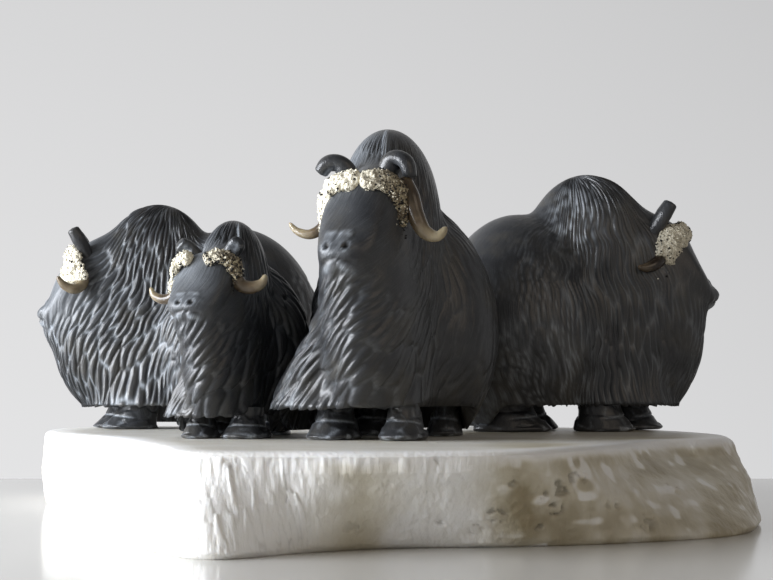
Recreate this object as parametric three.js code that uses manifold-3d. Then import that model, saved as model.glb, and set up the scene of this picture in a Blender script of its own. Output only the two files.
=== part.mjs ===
// A carved stone group: four muskoxen standing outward in a part circle on a thick alabaster slab.
// Millimetres, +Z up. The origin is the middle of the slab's underside, and the viewer stands at -Y.
// The lead ox is divided into its named parts. The three others are one solid each, apart from
// the bosses and horns, which are of another material and set in.
import * as THREE from "three";
import { mergeVertices } from "three/addons/utils/BufferGeometryUtils.js";
import Module from "manifold-3d";

const wasm = await Module();
wasm.setup();

// Driving dimensions.
const LEAD_HEIGHT = 150;      // slab top to the top of the lead ox's hump
const SLAB_THICK = 40;        // alabaster slab
const GAP = 0.3;              // clearance kept between pieces that touch
const CUT_CLEAR = 0.45;       // growth of a piece that cuts its neighbour, so that slopes keep the gap
const RANDOM_SEED = 27;       // start of the small variations in boss lumps and slab splinters

// Proportions that all four share, as fractions of the ox's own hump height.
const HEM = 0.1;              // underside of the coat above the slab
const CORE_X = -0.06;         // place of the inner point that the coat surface is measured from
const CORE_Z = 0.45;          // height of that point
const LONGEST_REACH = 1.2;    // farther than any part of the coat lies from that point
const HALVINGS = 22;          // steps in finding the surface along a direction
const NECK_X = 0.1;           // upright axis that the head turns about
const BLEND = 0.022;          // softness of the joins between the masses of the body
const JOIN_SWELL = 1.8;       // number of equal masses whose join keeps its size in the blend
const LOCK_DEPTH = 0.011;     // depth of the carved grooves between locks
const HEM_POINT = 0.014;      // how far a lock's tip drops below the underside
const HEM_NOTCH = 0.004;      // how far the hem rises between two tips
const HEM_TURN = 0.9;         // share of the hem's reach at which the flat underside begins
const FRONT_CROWDING = 0.38;  // how much closer the coat's facets stand on the head than on the rump
const LEG_ROOT = 5;           // millimetres that a leg is sunk into the coat where both are one stone

// Where the parts of the lead ox meet: a leaning plane from behind the ears to the throat, and an
// upright one behind the shoulders.
const NECK_CUT_X = 0.29;
const NECK_CUT_Z = 0.66;
const NECK_CUT_LEAN = 0.5;
const REAR_CUT_X = -0.2;

// Where each ox stands (under its hump), its heading in degrees and its height, then what sets it
// apart, as fractions of its height. Body: reach of the rump, height of the saddle, forward place
// and lean of the beard, half width and forward place of the skirt. Swings shift a mass sideways.
// Head: turn in degrees, shift, drop, width, length and drop of the nose, forward place of the face
// and chin. Ears: how they are held, left then right, forward shift and thickness. Bosses: their
// line, left then right. Horns: their line, lift and thickness, left then right. Hem: where it
// hangs down to the slab, in radians round from the nose, and the middle, width and rise of each
// lifted place. Legs: forward and sideways place, length and width of front left, front right, hind
// left and hind right, and how far the toes reach forward. Fills: forward place, height, half sizes,
// sideways place and forward and sideways lean of masses that fill the corner between beard and
// skirt. Coat: its facets round and down, and how far the locks turn aside on their way down, in
// radians.
const HERD = {
  lead: {
    height: LEAD_HEIGHT, x: 8, y: -27, heading: -105, rump: 0.5, saddle: 0.81,
    beardX: 0.245, beardLean: 0, skirtWide: 0.27, skirtX: 0.09,
    maneSwing: 0.034, beardSwing: 0, skirtSwing: -0.102,
    headTurn: 0, headShift: 0.018, headDrop: 0, headWide: 1,
    nose: 0, noseDrop: -0.01, muzzleSwing: -0.039, faceX: 0.393, chinX: 0.42,
    ears: ["hood", "side"], earShift: 0, earThick: 1.1, bosses: ["out", "apart"],
    horns: ["beside", "out"], hornLift: [0, 0.016], hornThick: [1.15, 0.72],
    curtain: [2.15, 5], hemLifts: [[1.25, 0.45, 0.04], [0.02, 0.13, 0.02]],
    legs: [[0.13, 0.094, 1, 1], [0.13, -0.13, 1, 1.15], [-0.275, 0.136, 1, 0.8], [-0.275, -0.12, 1, 1]],
    toe: 0.026, fills: [[0.25, 0.29, 0.12, 0.11, 0.27, -0.108, 0.4, 0.66]],
    columns: 72, rows: 20, sweep: -0.34,
  },
  young: {
    height: LEAD_HEIGHT * 0.713, x: -68, y: -13, heading: -99, rump: 0.56, saddle: 0.85,
    beardX: 0.245, beardLean: 0, skirtWide: 0.24, skirtX: 0.09,
    maneSwing: 0, beardSwing: -0.03, skirtSwing: -0.07,
    headTurn: -8, headShift: -0.01, headDrop: -0.008, headWide: 1.36,
    nose: 0, noseDrop: -0.02, muzzleSwing: -0.018, faceX: 0.393, chinX: 0.41,
    ears: ["front", "front"], earShift: 0, earThick: 1.25, bosses: ["high", "strip"],
    horns: ["high", "high"], hornLift: [0.036, -0.01], hornThick: [1.25, 1],
    curtain: [1.75, 4.85], hemLifts: [[0.9, 0.5, 0.02]],
    legs: [[0.13, 0.105, 1.16, 1.5], [0.13, -0.108, 1.16, 1.16], [-0.31, 0.12, 1.2, 1.2],
      [-0.31, -0.12, 1.2, 1.2]],
    toe: 0.02, fills: [],
    columns: 46, rows: 14, sweep: -0.26,
  },
  leftward: {
    height: LEAD_HEIGHT * 0.883, x: -128, y: 133, heading: 187, rump: 0.76, saddle: 0.91,
    beardX: 0.244, beardLean: 0.14, skirtWide: 0.23, skirtX: 0.035,
    maneSwing: 0, beardSwing: 0, skirtSwing: 0,
    headTurn: 0, headShift: 0, headDrop: 0.015, headWide: 1,
    nose: 0.024, noseDrop: 0.03, muzzleSwing: 0, faceX: 0.386, chinX: 0.45,
    ears: ["up", "up"], earShift: 0.045, earThick: 1, bosses: ["forward", "forward"],
    horns: ["forward", "forward"], hornLift: [0, 0], hornThick: [1, 1],
    curtain: [3.24, 5.3], hemLifts: [],
    legs: [[0.07, 0.102, 1.2, 1.12], [0.13, -0.102, 1.1, 1.1], [-0.475, 0.12, 1.1, 1.1],
      [-0.41, -0.12, 1.1, 1.1]],
    toe: 0.046, fills: [],
    columns: 54, rows: 16, sweep: 0.1,
  },
  rightward: {
    height: LEAD_HEIGHT * 0.96, x: 122, y: 88, heading: 5, rump: 0.63, saddle: 0.85,
    beardX: 0.239, beardLean: 0.025, skirtWide: 0.21, skirtX: 0.08,
    maneSwing: 0, beardSwing: 0, skirtSwing: 0,
    headTurn: 0, headShift: 0, headDrop: 0.01, headWide: 1,
    nose: 0.016, noseDrop: 0.014, muzzleSwing: 0, faceX: 0.388, chinX: 0.39,
    ears: ["low", "up"], earShift: -0.02, earThick: 1.08, bosses: ["back", "back"],
    horns: ["back", "back"], hornLift: [0, 0], hornThick: [1, 1],
    curtain: [2.05, 3.7], hemLifts: [],
    legs: [[0.177, 0.102, 1.1, 1.1], [0.01, -0.102, 1.15, 1.1], [-0.24, 0.12, 1.1, 1.1],
      [-0.35, -0.12, 1.45, 1.1]],
    toe: 0.026, fills: [],
    columns: 54, rows: 16, sweep: 0,
  },
};

// Materials, as the group shows them.
const STONE = { color: 0x3f4246, roughness: 0.38, metalness: 0 };
const PALE_BOSS = { color: 0xe0d8c0, roughness: 0.8, metalness: 0 };
const AMBER_HORN = { color: 0xa58b62, roughness: 0.25, metalness: 0 };
const ALABASTER = { color: 0xefece4, roughness: 0.35, metalness: 0 };

// A repeatable unevenness from -0.5 to 0.5 for a whole-numbered place.
function unevenness(place) {
  const wave = Math.sin((place + RANDOM_SEED) * 12.9898) * 43758.5453;
  return wave - Math.floor(wave) - 0.5;
}

const mix = THREE.MathUtils.lerp;
const step = THREE.MathUtils.smoothstep;
const radians = THREE.MathUtils.degToRad;

// One closed surface through rings of equal length, with a point at each end.
function closedSurface(first, rings, last) {
  const size = rings[0].length;
  const points = [first, ...rings.flat(), last];
  const faces = [];
  for (let column = 0; column < size; column += 1) {
    const next = (column + 1) % size;
    faces.push(0, 1 + column, 1 + next);
    for (let row = 0; row < rings.length - 1; row += 1) {
      const here = 1 + row * size;
      const below = here + size;
      faces.push(here + column, below + column, below + next);
      faces.push(here + column, below + next, here + next);
    }
    const end = 1 + (rings.length - 1) * size;
    faces.push(end + column, points.length - 1, end + next);
  }
  const geometry = new THREE.BufferGeometry().setFromPoints(points);
  geometry.setIndex(faces);
  return geometry;
}

// Signed volume of a closed geometry: negative when its faces point inwards.
function signedVolume(geometry) {
  const place = geometry.attributes.position;
  const index = geometry.index.array;
  const [a, b, c] = [new THREE.Vector3(), new THREE.Vector3(), new THREE.Vector3()];
  let sum = 0;
  for (let face = 0; face < index.length; face += 3) {
    a.fromBufferAttribute(place, index[face]);
    b.fromBufferAttribute(place, index[face + 1]);
    c.fromBufferAttribute(place, index[face + 2]);
    sum += a.dot(b.cross(c)) / 6;
  }
  return sum;
}

// A closed geometry as a solid that can be joined and cut.
function toSolid(geometry) {
  const bare = new THREE.BufferGeometry();
  bare.setAttribute("position", geometry.attributes.position.clone());
  bare.setIndex(geometry.index);
  const merged = mergeVertices(bare, 1e-4);
  const faces = Array.from(merged.index.array);
  if (signedVolume(merged) < 0) faces.reverse();
  return new wasm.Manifold(new wasm.Mesh({
    numProp: 3,
    vertProperties: new Float32Array(merged.attributes.position.array),
    triVerts: new Uint32Array(faces),
  }));
}

// The largest closed surface of a solid: loose scraps and sealed hollows are dropped.
function largest(solid) {
  const pieces = solid.decompose();
  return pieces.reduce((best, piece) => (piece.volume() > best.volume() ? piece : best));
}

function toGeometry(solid) {
  const mesh = solid.getMesh();
  const geometry = new THREE.BufferGeometry();
  geometry.setAttribute("position", new THREE.BufferAttribute(new Float32Array(mesh.vertProperties), 3));
  geometry.setIndex(Array.from(mesh.triVerts));
  geometry.computeVertexNormals();
  return geometry;
}

function makeMesh(name, solid, look) {
  const mesh = new THREE.Mesh(toGeometry(largest(solid)), new THREE.MeshStandardMaterial(look));
  mesh.name = name;
  return mesh;
}

// The masses of one ox as rounded blobs: middle, half sizes, squareness (n, or nz for its upright
// profile), sideways swing, tilt, and whether the mass belongs to the head. X runs forward from
// under the hump, Z up from the feet.
const BARREL_FRONT = 0.05;
const BARREL_BOTTOM = -0.12;
function masses(ox) {
  const barrelHalf = (ox.rump + BARREL_FRONT) / 2;
  const barrelRise = (ox.saddle - BARREL_BOTTOM) / 2;
  return [
    // barrel and rump
    { x: BARREL_FRONT - barrelHalf, z: ox.saddle - barrelRise, rx: barrelHalf, ry: 0.335, rz: barrelRise,
      n: 2.2, nz: 1.9 },
    // shoulders
    { x: 0, z: 0.4, rx: 0.35, ry: 0.18, rz: 0.5, n: 2.2 },
    // hump
    { x: 0, z: 0.7, rx: 0.255, ry: 0.172, rz: 0.312, n: 2, swing: ox.maneSwing * 0.3 },
    // mane over the neck
    { x: 0.16, z: 0.5, rx: 0.27, ry: 0.14, rz: 0.375, n: 2.2, swing: ox.maneSwing },
    // beard and chest
    { x: ox.beardX, z: 0.42, rx: 0.232, ry: 0.14, rz: 0.36, n: 2.2, tilt: ox.beardLean,
      swing: ox.beardSwing },
    // skirt of long hair round the forelegs
    { x: ox.skirtX, z: 0.03, rx: 0.275, ry: ox.skirtWide, rz: 0.4, n: 2.2, nz: 1.5,
      swing: ox.skirtSwing },
    // skull, face, muzzle and chin
    { x: 0.3, z: 0.72, rx: 0.1, ry: 0.1, rz: 0.105, n: 2, head: true },
    { x: ox.faceX, z: 0.645 - ox.noseDrop / 2, rx: 0.155, ry: 0.105, rz: 0.048, n: 2.4, nz: 2.6,
      tilt: 0.985, head: true, swing: ox.muzzleSwing / 2 },
    { x: 0.466 + ox.nose, z: 0.545 - ox.noseDrop, rx: 0.04, ry: 0.056, rz: 0.036, n: 2.4, head: true,
      swing: ox.muzzleSwing },
    { x: ox.chinX, z: 0.475 - ox.noseDrop, rx: 0.05, ry: 0.07, rz: 0.075, n: 2.2, head: true,
      swing: ox.muzzleSwing },
    // leaning masses that fill the corner between beard and skirt
    ...ox.fills.map(([x, z, rx, ry, rz, swing, lean, slant]) => (
      { x, z, rx, ry, rz, n: 2.2, swing, lean, slant })),
  ];
}

// Distance of a point (x, y, z) outside the blended masses; negative inside.
function outside(ox, blobs, x, y, z) {
  const turn = radians(ox.headTurn);
  const headX = NECK_X + (x - NECK_X) * Math.cos(turn) + y * Math.sin(turn);
  const headY = y * Math.cos(turn) - (x - NECK_X) * Math.sin(turn);
  let sum = 0;
  for (const blob of blobs) {
    const dz = z - blob.z + (blob.head ? ox.headDrop : 0);
    const dx = (blob.head ? headX : x) - blob.x - (blob.lean ?? 0) * dz;
    const dy = (blob.head ? (headY - ox.headShift) / ox.headWide : y) - (blob.swing ?? 0)
      - (blob.slant ?? 0) * dz;
    const tilt = blob.tilt ?? 0;
    const along = dx * Math.cos(tilt) - dz * Math.sin(tilt);
    const across = dx * Math.sin(tilt) + dz * Math.cos(tilt);
    const reach = Math.hypot(along, dy, across) + 1e-9;
    const nz = blob.nz ?? blob.n;
    const plan = (Math.abs(along / blob.rx) ** blob.n + Math.abs(dy / blob.ry) ** blob.n) ** (1 / blob.n);
    const level = (plan ** nz + Math.abs(across / blob.rz) ** nz) ** (1 / nz) + 1e-9;
    sum += Math.exp(-(reach - reach / level) / BLEND);
  }
  return -BLEND * Math.log(sum / JOIN_SWELL);
}

// Distance from the core point to the surface along a direction, by halving the interval.
function surfaceReach(ox, blobs, from, direction) {
  let near = 0;
  let far = LONGEST_REACH;
  for (let pass = 0; pass < HALVINGS; pass += 1) {
    const middle = (near + far) / 2;
    const value = outside(ox, blobs, from.x + direction.x * middle, direction.y * middle,
      from.z + direction.z * middle);
    if (value < 0) near = middle;
    else far = middle;
  }
  return near;
}

// Where the coat is carved and where it is left smooth. Azimuth is 0 at the nose, in radians, and
// fall is 0 at the hump's top and 1 at the hem. Each pair is where a change begins and ends.
const FACE_EDGE = [0.3, 0.6];
const FACE_TOP = [0.15, 0.3];
const FACE_FOOT = [0.66, 0.74];
const SADDLE_EDGE = [2.3, 2.8];
const SADDLE_FOOT = [0.45, 0.7];
const HUMP_TOP = [0.08, 0.3];
const HEAD_FOLLOW = 0.8;
const SWEEP_EDGE = [0.7, 2.2];
const SWEEP_FALL = [0.55, 1.05];

// How deep the carved locks are at a place: none on the face, the hump's top and the saddle.
function lockStrength(ox, azimuth, fall) {
  const turned = Math.abs(azimuth - radians(ox.headTurn) * HEAD_FOLLOW);
  const face = (1 - step(turned, ...FACE_EDGE)) * step(fall, ...FACE_TOP) * (1 - step(fall, ...FACE_FOOT));
  const saddle = step(Math.abs(azimuth), ...SADDLE_EDGE) * (1 - step(fall, ...SADDLE_FOOT));
  return step(fall, ...HUMP_TOP) * (1 - face) * (1 - saddle);
}

// Underside of the coat: open on the side that faces the viewer, down to just above the slab on the
// side away from the viewer, and lifted a little in places.
const CURTAIN_DROP = 0.08;
const CURTAIN_EDGE = 0.15;
function hemHeight(ox, azimuth) {
  const around = (azimuth + 4 * Math.PI) % (2 * Math.PI);
  const [start, end] = ox.curtain;
  let height = HEM - CURTAIN_DROP * (step(around, start - CURTAIN_EDGE, start + CURTAIN_EDGE)
    - step(around, end - CURTAIN_EDGE, end + CURTAIN_EDGE));
  const signed = around > Math.PI ? around - 2 * Math.PI : around;
  for (const [middle, width, lift] of ox.hemLifts) {
    height += lift * Math.exp(-(((signed - middle) / width) ** 2));
  }
  return height;
}

// The coat surface of one ox, in its own frame, grown outward by a clearance. Locks are
// alternate raised and sunk columns that sweep round towards the hem and end in points.
function coatSurface(ox, grow = 0) {
  const blobs = masses(ox);
  const core = new THREE.Vector3(CORE_X, 0, CORE_Z);
  const floorCore = new THREE.Vector3(CORE_X, 0, HEM);
  const rings = [];
  for (let row = 1; row <= ox.rows; row += 1) rings.push([]);
  const under = [];
  for (let column = 0; column < ox.columns; column += 1) {
    const even = (2 * Math.PI * column) / ox.columns;
    const base = even - FRONT_CROWDING * Math.sin(even);
    const azimuth0 = base > Math.PI ? base - 2 * Math.PI : base;
    const raised = column % 2 === 0 ? 1 : -1;
    for (let row = 1; row <= ox.rows; row += 1) {
      const fall = row / ox.rows;
      const frontness = 1 - step(Math.abs(azimuth0), ...SWEEP_EDGE);
      const azimuth = azimuth0 + ox.sweep * frontness * step(fall, ...SWEEP_FALL);
      const flat = new THREE.Vector3(Math.cos(azimuth), Math.sin(azimuth), 0);
      const hem = hemHeight(ox, azimuth);
      const hemReach = surfaceReach(ox, blobs, new THREE.Vector3(CORE_X, 0, hem), flat);
      const low = Math.atan2(hem - CORE_Z, hemReach);
      const rise = mix(Math.PI / 2, low, fall);
      const direction = flat.clone().multiplyScalar(Math.cos(rise));
      direction.z = Math.sin(rise);
      const relief = raised * LOCK_DEPTH * 0.5 * lockStrength(ox, azimuth, fall);
      const reach = surfaceReach(ox, blobs, core, direction) + relief + grow / ox.height;
      const point = core.clone().addScaledVector(direction, reach);
      if (row === ox.rows) {
        point.z = hem + (raised > 0 ? -HEM_POINT : HEM_NOTCH) - grow / ox.height;
        const inner = floorCore.clone().addScaledVector(flat, hemReach * HEM_TURN);
        inner.z = HEM - grow / ox.height;
        under.push(inner.multiplyScalar(ox.height));
      }
      rings[row - 1].push(point.multiplyScalar(ox.height));
    }
  }
  rings.push(under);
  const up = new THREE.Vector3(0, 0, 1);
  const top = core.clone().addScaledVector(up, surfaceReach(ox, blobs, core, up) + grow / ox.height);
  const bottom = floorCore.clone();
  bottom.z = HEM - grow / ox.height;
  return closedSurface(top.multiplyScalar(ox.height), rings, bottom.multiplyScalar(ox.height));
}

// A point given in the head's own frame, turned with the head.
function onHead(ox, x, y, z) {
  const turn = radians(ox.headTurn);
  const aside = y * ox.headWide + ox.headShift;
  return new THREE.Vector3(
    NECK_X + (x - NECK_X) * Math.cos(turn) - aside * Math.sin(turn),
    (x - NECK_X) * Math.sin(turn) + aside * Math.cos(turn),
    z - ox.headDrop,
  ).multiplyScalar(ox.height);
}

// The value at a place from 0 to 1 along a short list.
function along(list, place) {
  const slot = place * (list.length - 1);
  const first = Math.min(Math.floor(slot), list.length - 2);
  return mix(list[first], list[first + 1], slot - first);
}

// A rod along a smooth curve. Half widths and half depths are listed along it. Given a middle, it
// lies broad across the skin that faces away from that middle. Lumps make each corner of a section
// stand out or back a little, and grow makes the whole rod larger, ends too.
function rod(points, widths, depths, { sides = 8, lengths = 7, lumps = 0, middle = null, grow = 0 }) {
  const curve = new THREE.CatmullRomCurve3(points);
  const frames = curve.computeFrenetFrames(lengths, false);
  const rings = [];
  for (let ring = 0; ring <= lengths; ring += 1) {
    const place = ring / lengths;
    const centre = curve.getPointAt(place);
    const ahead = curve.getTangentAt(place);
    if (ring === 0) centre.addScaledVector(ahead, -grow);
    if (ring === lengths) centre.addScaledVector(ahead, grow);
    let across = frames.normals[ring];
    if (middle) across = centre.clone().sub(middle).cross(ahead).normalize();
    const away = ahead.clone().cross(across);
    const section = [];
    for (let side = 0; side < sides; side += 1) {
      const angle = (2 * Math.PI * side) / sides;
      const size = 1 + lumps * unevenness(ring * sides + side);
      section.push(centre.clone()
        .addScaledVector(across, Math.cos(angle) * (size * along(widths, place) + grow))
        .addScaledVector(away, Math.sin(angle) * (size * along(depths, place) + grow)));
    }
    rings.push(section);
  }
  const ends = [0, 1].map((place) => curve.getPointAt(place)
    .addScaledVector(curve.getTangentAt(place), place === 0 ? -grow : grow));
  return closedSurface(ends[0], rings, ends[1]);
}

// Boss and horn follow one line on each side of the head: out from the parting over the
// forehead, down past the cheek, then out to the tip, the way each ox carries its horns.
const SKULL = [0.28, 0, 0.7];
const BOSS_LINES = {
  out: [[0.38, 0, 0.772], [0.366, 0.05, 0.788], [0.335, 0.096, 0.768], [0.318, 0.11, 0.71],
    [0.318, 0.113, 0.645]],
  apart: [[0.38, 0, 0.772], [0.366, 0.05, 0.788], [0.345, 0.1, 0.768], [0.338, 0.117, 0.705],
    [0.34, 0.121, 0.625]],
  high: [[0.38, 0.012, 0.772], [0.366, 0.052, 0.795], [0.335, 0.094, 0.775], [0.318, 0.106, 0.72],
    [0.318, 0.108, 0.66]],
  strip: [[0.385, 0.034, 0.775], [0.38, 0.062, 0.785], [0.368, 0.086, 0.765], [0.37, 0.094, 0.705],
    [0.376, 0.096, 0.635]],
  forward: [[0.38, 0.018, 0.785], [0.376, 0.062, 0.79], [0.368, 0.098, 0.757], [0.365, 0.112, 0.71],
    [0.362, 0.116, 0.65]],
  back: [[0.38, 0.018, 0.78], [0.362, 0.062, 0.785], [0.318, 0.098, 0.758], [0.288, 0.112, 0.705],
    [0.266, 0.118, 0.65]],
};
const BOSS_WIDTHS = {
  out: [0.036, 0.04, 0.044, 0.03, 0.02],
  apart: [0.036, 0.042, 0.044, 0.03, 0.022],
  high: [0.034, 0.038, 0.044, 0.036, 0.026],
  strip: [0.03, 0.036, 0.038, 0.034, 0.028],
  forward: [0.026, 0.032, 0.046, 0.068, 0.082],
  back: [0.034, 0.044, 0.054, 0.052, 0.036],
};
const BOSS_DEPTHS = [0.02, 0.023, 0.024, 0.022, 0.018];
const HORN_LINES = {
  out: [[0.308, 0.12, 0.7], [0.308, 0.138, 0.64], [0.308, 0.178, 0.617], [0.305, 0.222, 0.628],
    [0.305, 0.249, 0.655]],
  beside: [[0.275, 0.105, 0.8], [0.288, 0.133, 0.745], [0.298, 0.155, 0.68], [0.305, 0.185, 0.63],
    [0.305, 0.224, 0.617], [0.305, 0.252, 0.645]],
  high: [[0.316, 0.105, 0.665], [0.312, 0.122, 0.632], [0.308, 0.155, 0.622], [0.305, 0.19, 0.64],
    [0.305, 0.205, 0.678]],
  forward: [[0.316, 0.118, 0.68], [0.325, 0.14, 0.64], [0.355, 0.165, 0.622], [0.395, 0.178, 0.637],
    [0.425, 0.182, 0.675]],
  back: [[0.26, 0.112, 0.67], [0.232, 0.135, 0.65], [0.205, 0.148, 0.637], [0.18, 0.158, 0.632],
    [0.156, 0.166, 0.636]],
};
const HORN_RADII = [0.024, 0.025, 0.023, 0.018, 0.008];

// An ear is a blunt, slightly flattened rod that leans the way each ox holds it.
const EAR_LINES = {
  side: [[0.25, 0.06, 0.8], [0.26, 0.1, 0.852], [0.265, 0.135, 0.852], [0.265, 0.16, 0.822]],
  hood: [[0.25, 0.04, 0.8], [0.262, 0.078, 0.86], [0.27, 0.112, 0.848], [0.275, 0.13, 0.795]],
  front: [[0.25, 0.05, 0.79], [0.265, 0.078, 0.832], [0.282, 0.096, 0.852], [0.3, 0.106, 0.862]],
  up: [[0.25, 0.06, 0.76], [0.28, 0.09, 0.815], [0.305, 0.105, 0.86], [0.325, 0.11, 0.893]],
  low: [[0.23, 0.05, 0.73], [0.25, 0.08, 0.785], [0.265, 0.1, 0.825], [0.275, 0.11, 0.85]],
};
const EAR_WIDTHS = [0.03, 0.031, 0.032, 0.026];
const EAR_DEPTHS = [0.026, 0.027, 0.027, 0.021];

// One rod on the head: its line mirrored to a side, and its sizes in millimetres.
function headRod(ox, side, line, widths, depths, options) {
  const { forward = 0, lift = 0, thick = 1 } = options;
  const points = line.map(([x, y, z]) => onHead(ox, x + forward, side * y, z + lift));
  const scaled = (list) => list.map((value) => value * thick * ox.height);
  return toSolid(rod(points, scaled(widths), scaled(depths), options));
}

function bossSolid(ox, side, grow = 0) {
  const middle = onHead(ox, ...SKULL);
  const held = ox.bosses[side > 0 ? 0 : 1];
  const options = { sides: 8, lengths: 7, lumps: 0.2, middle, grow };
  return headRod(ox, side, BOSS_LINES[held], BOSS_WIDTHS[held], BOSS_DEPTHS, options);
}

function hornSolid(ox, side) {
  const pick = side > 0 ? 0 : 1;
  const options = { sides: 7, lengths: 8, lift: ox.hornLift[pick], thick: ox.hornThick[pick] };
  return headRod(ox, side, HORN_LINES[ox.horns[pick]], HORN_RADII, HORN_RADII, options);
}

function earSolid(ox, side, grow = 0) {
  const held = ox.ears[side > 0 ? 0 : 1];
  const options = { sides: 8, lengths: 6, grow, forward: ox.earShift, thick: ox.earThick };
  return headRod(ox, side, EAR_LINES[held], EAR_WIDTHS, EAR_DEPTHS, options);
}

// A short leg that flares like a bell into a broad blunt hoof: half length and half width of the
// foot and of the shank, the height of the bell and of the worn lip round the sole, and the
// heights of the rings. A last ring is carried up to the coat.
const LEG_FOOT = [0.107, 0.078];
const LEG_SHANK = [0.064, 0.044];
const LEG_BELL = 0.1;
const LEG_LIP = 0.012;
const LEG_HEIGHTS = [0, LEG_LIP, 0.035, 0.062];
const LEG_SIDES = 12;
const LEG_NAMES = ["leg_front_left", "leg_front_right", "leg_hind_left", "leg_hind_right"];

// How far the bell of a leg stands out at a height: 1.1 just over the lip, 0.1 at its top.
function bellFlare(z) {
  const bell = Math.max(1 - z / LEG_BELL, 0) ** 1.5;
  return z < LEG_LIP ? bell - 0.25 * (1 - z / LEG_LIP) ** 2 + (0.1 * z) / LEG_LIP : bell + 0.1;
}

function legSolid(ox, place, top) {
  const [x, y, long, wide] = place;
  const solidRings = [...LEG_HEIGHTS, top / ox.height].map((z) => {
    const flare = bellFlare(z);
    const [halfLength, halfWidth] = [0, 1].map((axis) => mix(LEG_SHANK[axis], LEG_FOOT[axis], flare));
    const ring = [];
    for (let corner = 0; corner < LEG_SIDES; corner += 1) {
      const angle = (2 * Math.PI * (corner + 0.5)) / LEG_SIDES;
      ring.push(new THREE.Vector3(
        (x + ox.toe * flare + halfLength * Math.cos(angle) * long) * ox.height,
        (y + halfWidth * Math.sin(angle) * wide) * ox.height,
        z * ox.height,
      ));
    }
    return ring;
  });
  const foot = new THREE.Vector3(x * ox.height, y * ox.height, 0);
  const crown = new THREE.Vector3(x * ox.height, y * ox.height, top);
  return toSolid(closedSurface(foot, solidRings, crown));
}

const SIDES = { left: 1, right: -1 };

// Boss and horn of each side, cut clear of the coat, the ears and each other.
function hornPieces(name, ox, clearCoat) {
  const pieces = [];
  for (const [sideName, side] of Object.entries(SIDES)) {
    const clear = clearCoat.add(earSolid(ox, side, CUT_CLEAR));
    let boss = bossSolid(ox, side).subtract(clear);
    if (side === SIDES.right) boss = boss.subtract(bossSolid(ox, SIDES.left, CUT_CLEAR));
    pieces.push(makeMesh(`${name}_boss_${sideName}`, boss, PALE_BOSS));
    const horn = hornSolid(ox, side).subtract(clear).subtract(bossSolid(ox, side, CUT_CLEAR));
    pieces.push(makeMesh(`${name}_horn_${sideName}`, horn, AMBER_HORN));
  }
  return pieces;
}

// A box turned about Y, used to part the lead ox: centre and sizes in millimetres.
function cutter(length, width, height, x, z, tilt) {
  const geometry = new THREE.BoxGeometry(length, width, height);
  geometry.rotateY(tilt);
  geometry.translate(x, 0, z);
  return toSolid(geometry);
}

// The lead ox in its named parts.
function leadOx(name, ox) {
  const group = new THREE.Group();
  const coat = toSolid(coatSurface(ox));
  const clear = toSolid(coatSurface(ox, CUT_CLEAR));
  const h = ox.height;
  const big = 3 * h;
  const headBox = (shift) => {
    const reach = big / 2 + shift;
    const x = NECK_CUT_X * h + reach * Math.cos(NECK_CUT_LEAN);
    const z = NECK_CUT_Z * h + reach * Math.sin(NECK_CUT_LEAN);
    return cutter(big, big, big, x, z, -NECK_CUT_LEAN).rotate([0, 0, ox.headTurn]);
  };
  const rearBox = (shift) => cutter(big, big, big, REAR_CUT_X * h - big / 2 + shift, 0, 0);
  const trunk = coat.subtract(headBox(-GAP / 2));
  group.add(makeMesh(`${name}_head`, coat.intersect(headBox(GAP / 2)), STONE));
  group.add(makeMesh(`${name}_shoulders`, trunk.subtract(rearBox(GAP / 2)), STONE));
  group.add(makeMesh(`${name}_hindquarters`, trunk.intersect(rearBox(-GAP / 2)), STONE));
  LEG_NAMES.forEach((leg, index) => {
    const solid = legSolid(ox, ox.legs[index], HEM * h - GAP).subtract(clear);
    group.add(makeMesh(`${name}_${leg}`, solid, STONE));
  });
  for (const [sideName, side] of Object.entries(SIDES)) {
    group.add(makeMesh(`${name}_ear_${sideName}`, earSolid(ox, side).subtract(clear), STONE));
  }
  for (const piece of hornPieces(name, ox, clear)) group.add(piece);
  return group;
}

// A solid of one ox's frame as it lies in another's.
function inFrameOf(other, ox, solid) {
  return solid.rotate([0, 0, ox.heading]).translate([ox.x - other.x, ox.y - other.y, 0])
    .rotate([0, 0, -other.heading]);
}

// A companion ox: body, legs and ears in one stone, carved clear of the lead ox's coat.
function companionOx(name, ox) {
  const group = new THREE.Group();
  let stone = toSolid(coatSurface(ox));
  for (const place of ox.legs) stone = stone.add(legSolid(ox, place, HEM * ox.height + LEG_ROOT));
  for (const side of Object.values(SIDES)) stone = stone.add(earSolid(ox, side));
  const lead = inFrameOf(ox, HERD.lead, toSolid(coatSurface(HERD.lead, CUT_CLEAR)));
  group.add(makeMesh(`${name}_body`, stone.subtract(lead), STONE));
  for (const piece of hornPieces(name, ox, toSolid(coatSurface(ox, CUT_CLEAR)))) group.add(piece);
  return group;
}

// The slab's outline, going round from the middle of the front: top edge x, y, then foot x, y.
const SLAB_OUTLINE = [
  [8, -178, 8, -150], [60, -163, 62, -143], [98, -118, 112, -128], [140, -50, 162, -98],
  [172, -25, 184, -50], [184, 15, 190, 5], [172, 80, 178, 78], [140, 130, 146, 134],
  [80, 170, 82, 168], [-10, 178, -10, 172], [-110, 183, -112, 180], [-172, 165, -176, 160],
  [-187, 110, -184, 105], [-172, 56, -166, 30], [-127, -17, -130, -55], [-92, -105, -92, -150],
  [-68, -172, -60, -188], [-30, -178, -25, -166],
];

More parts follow.
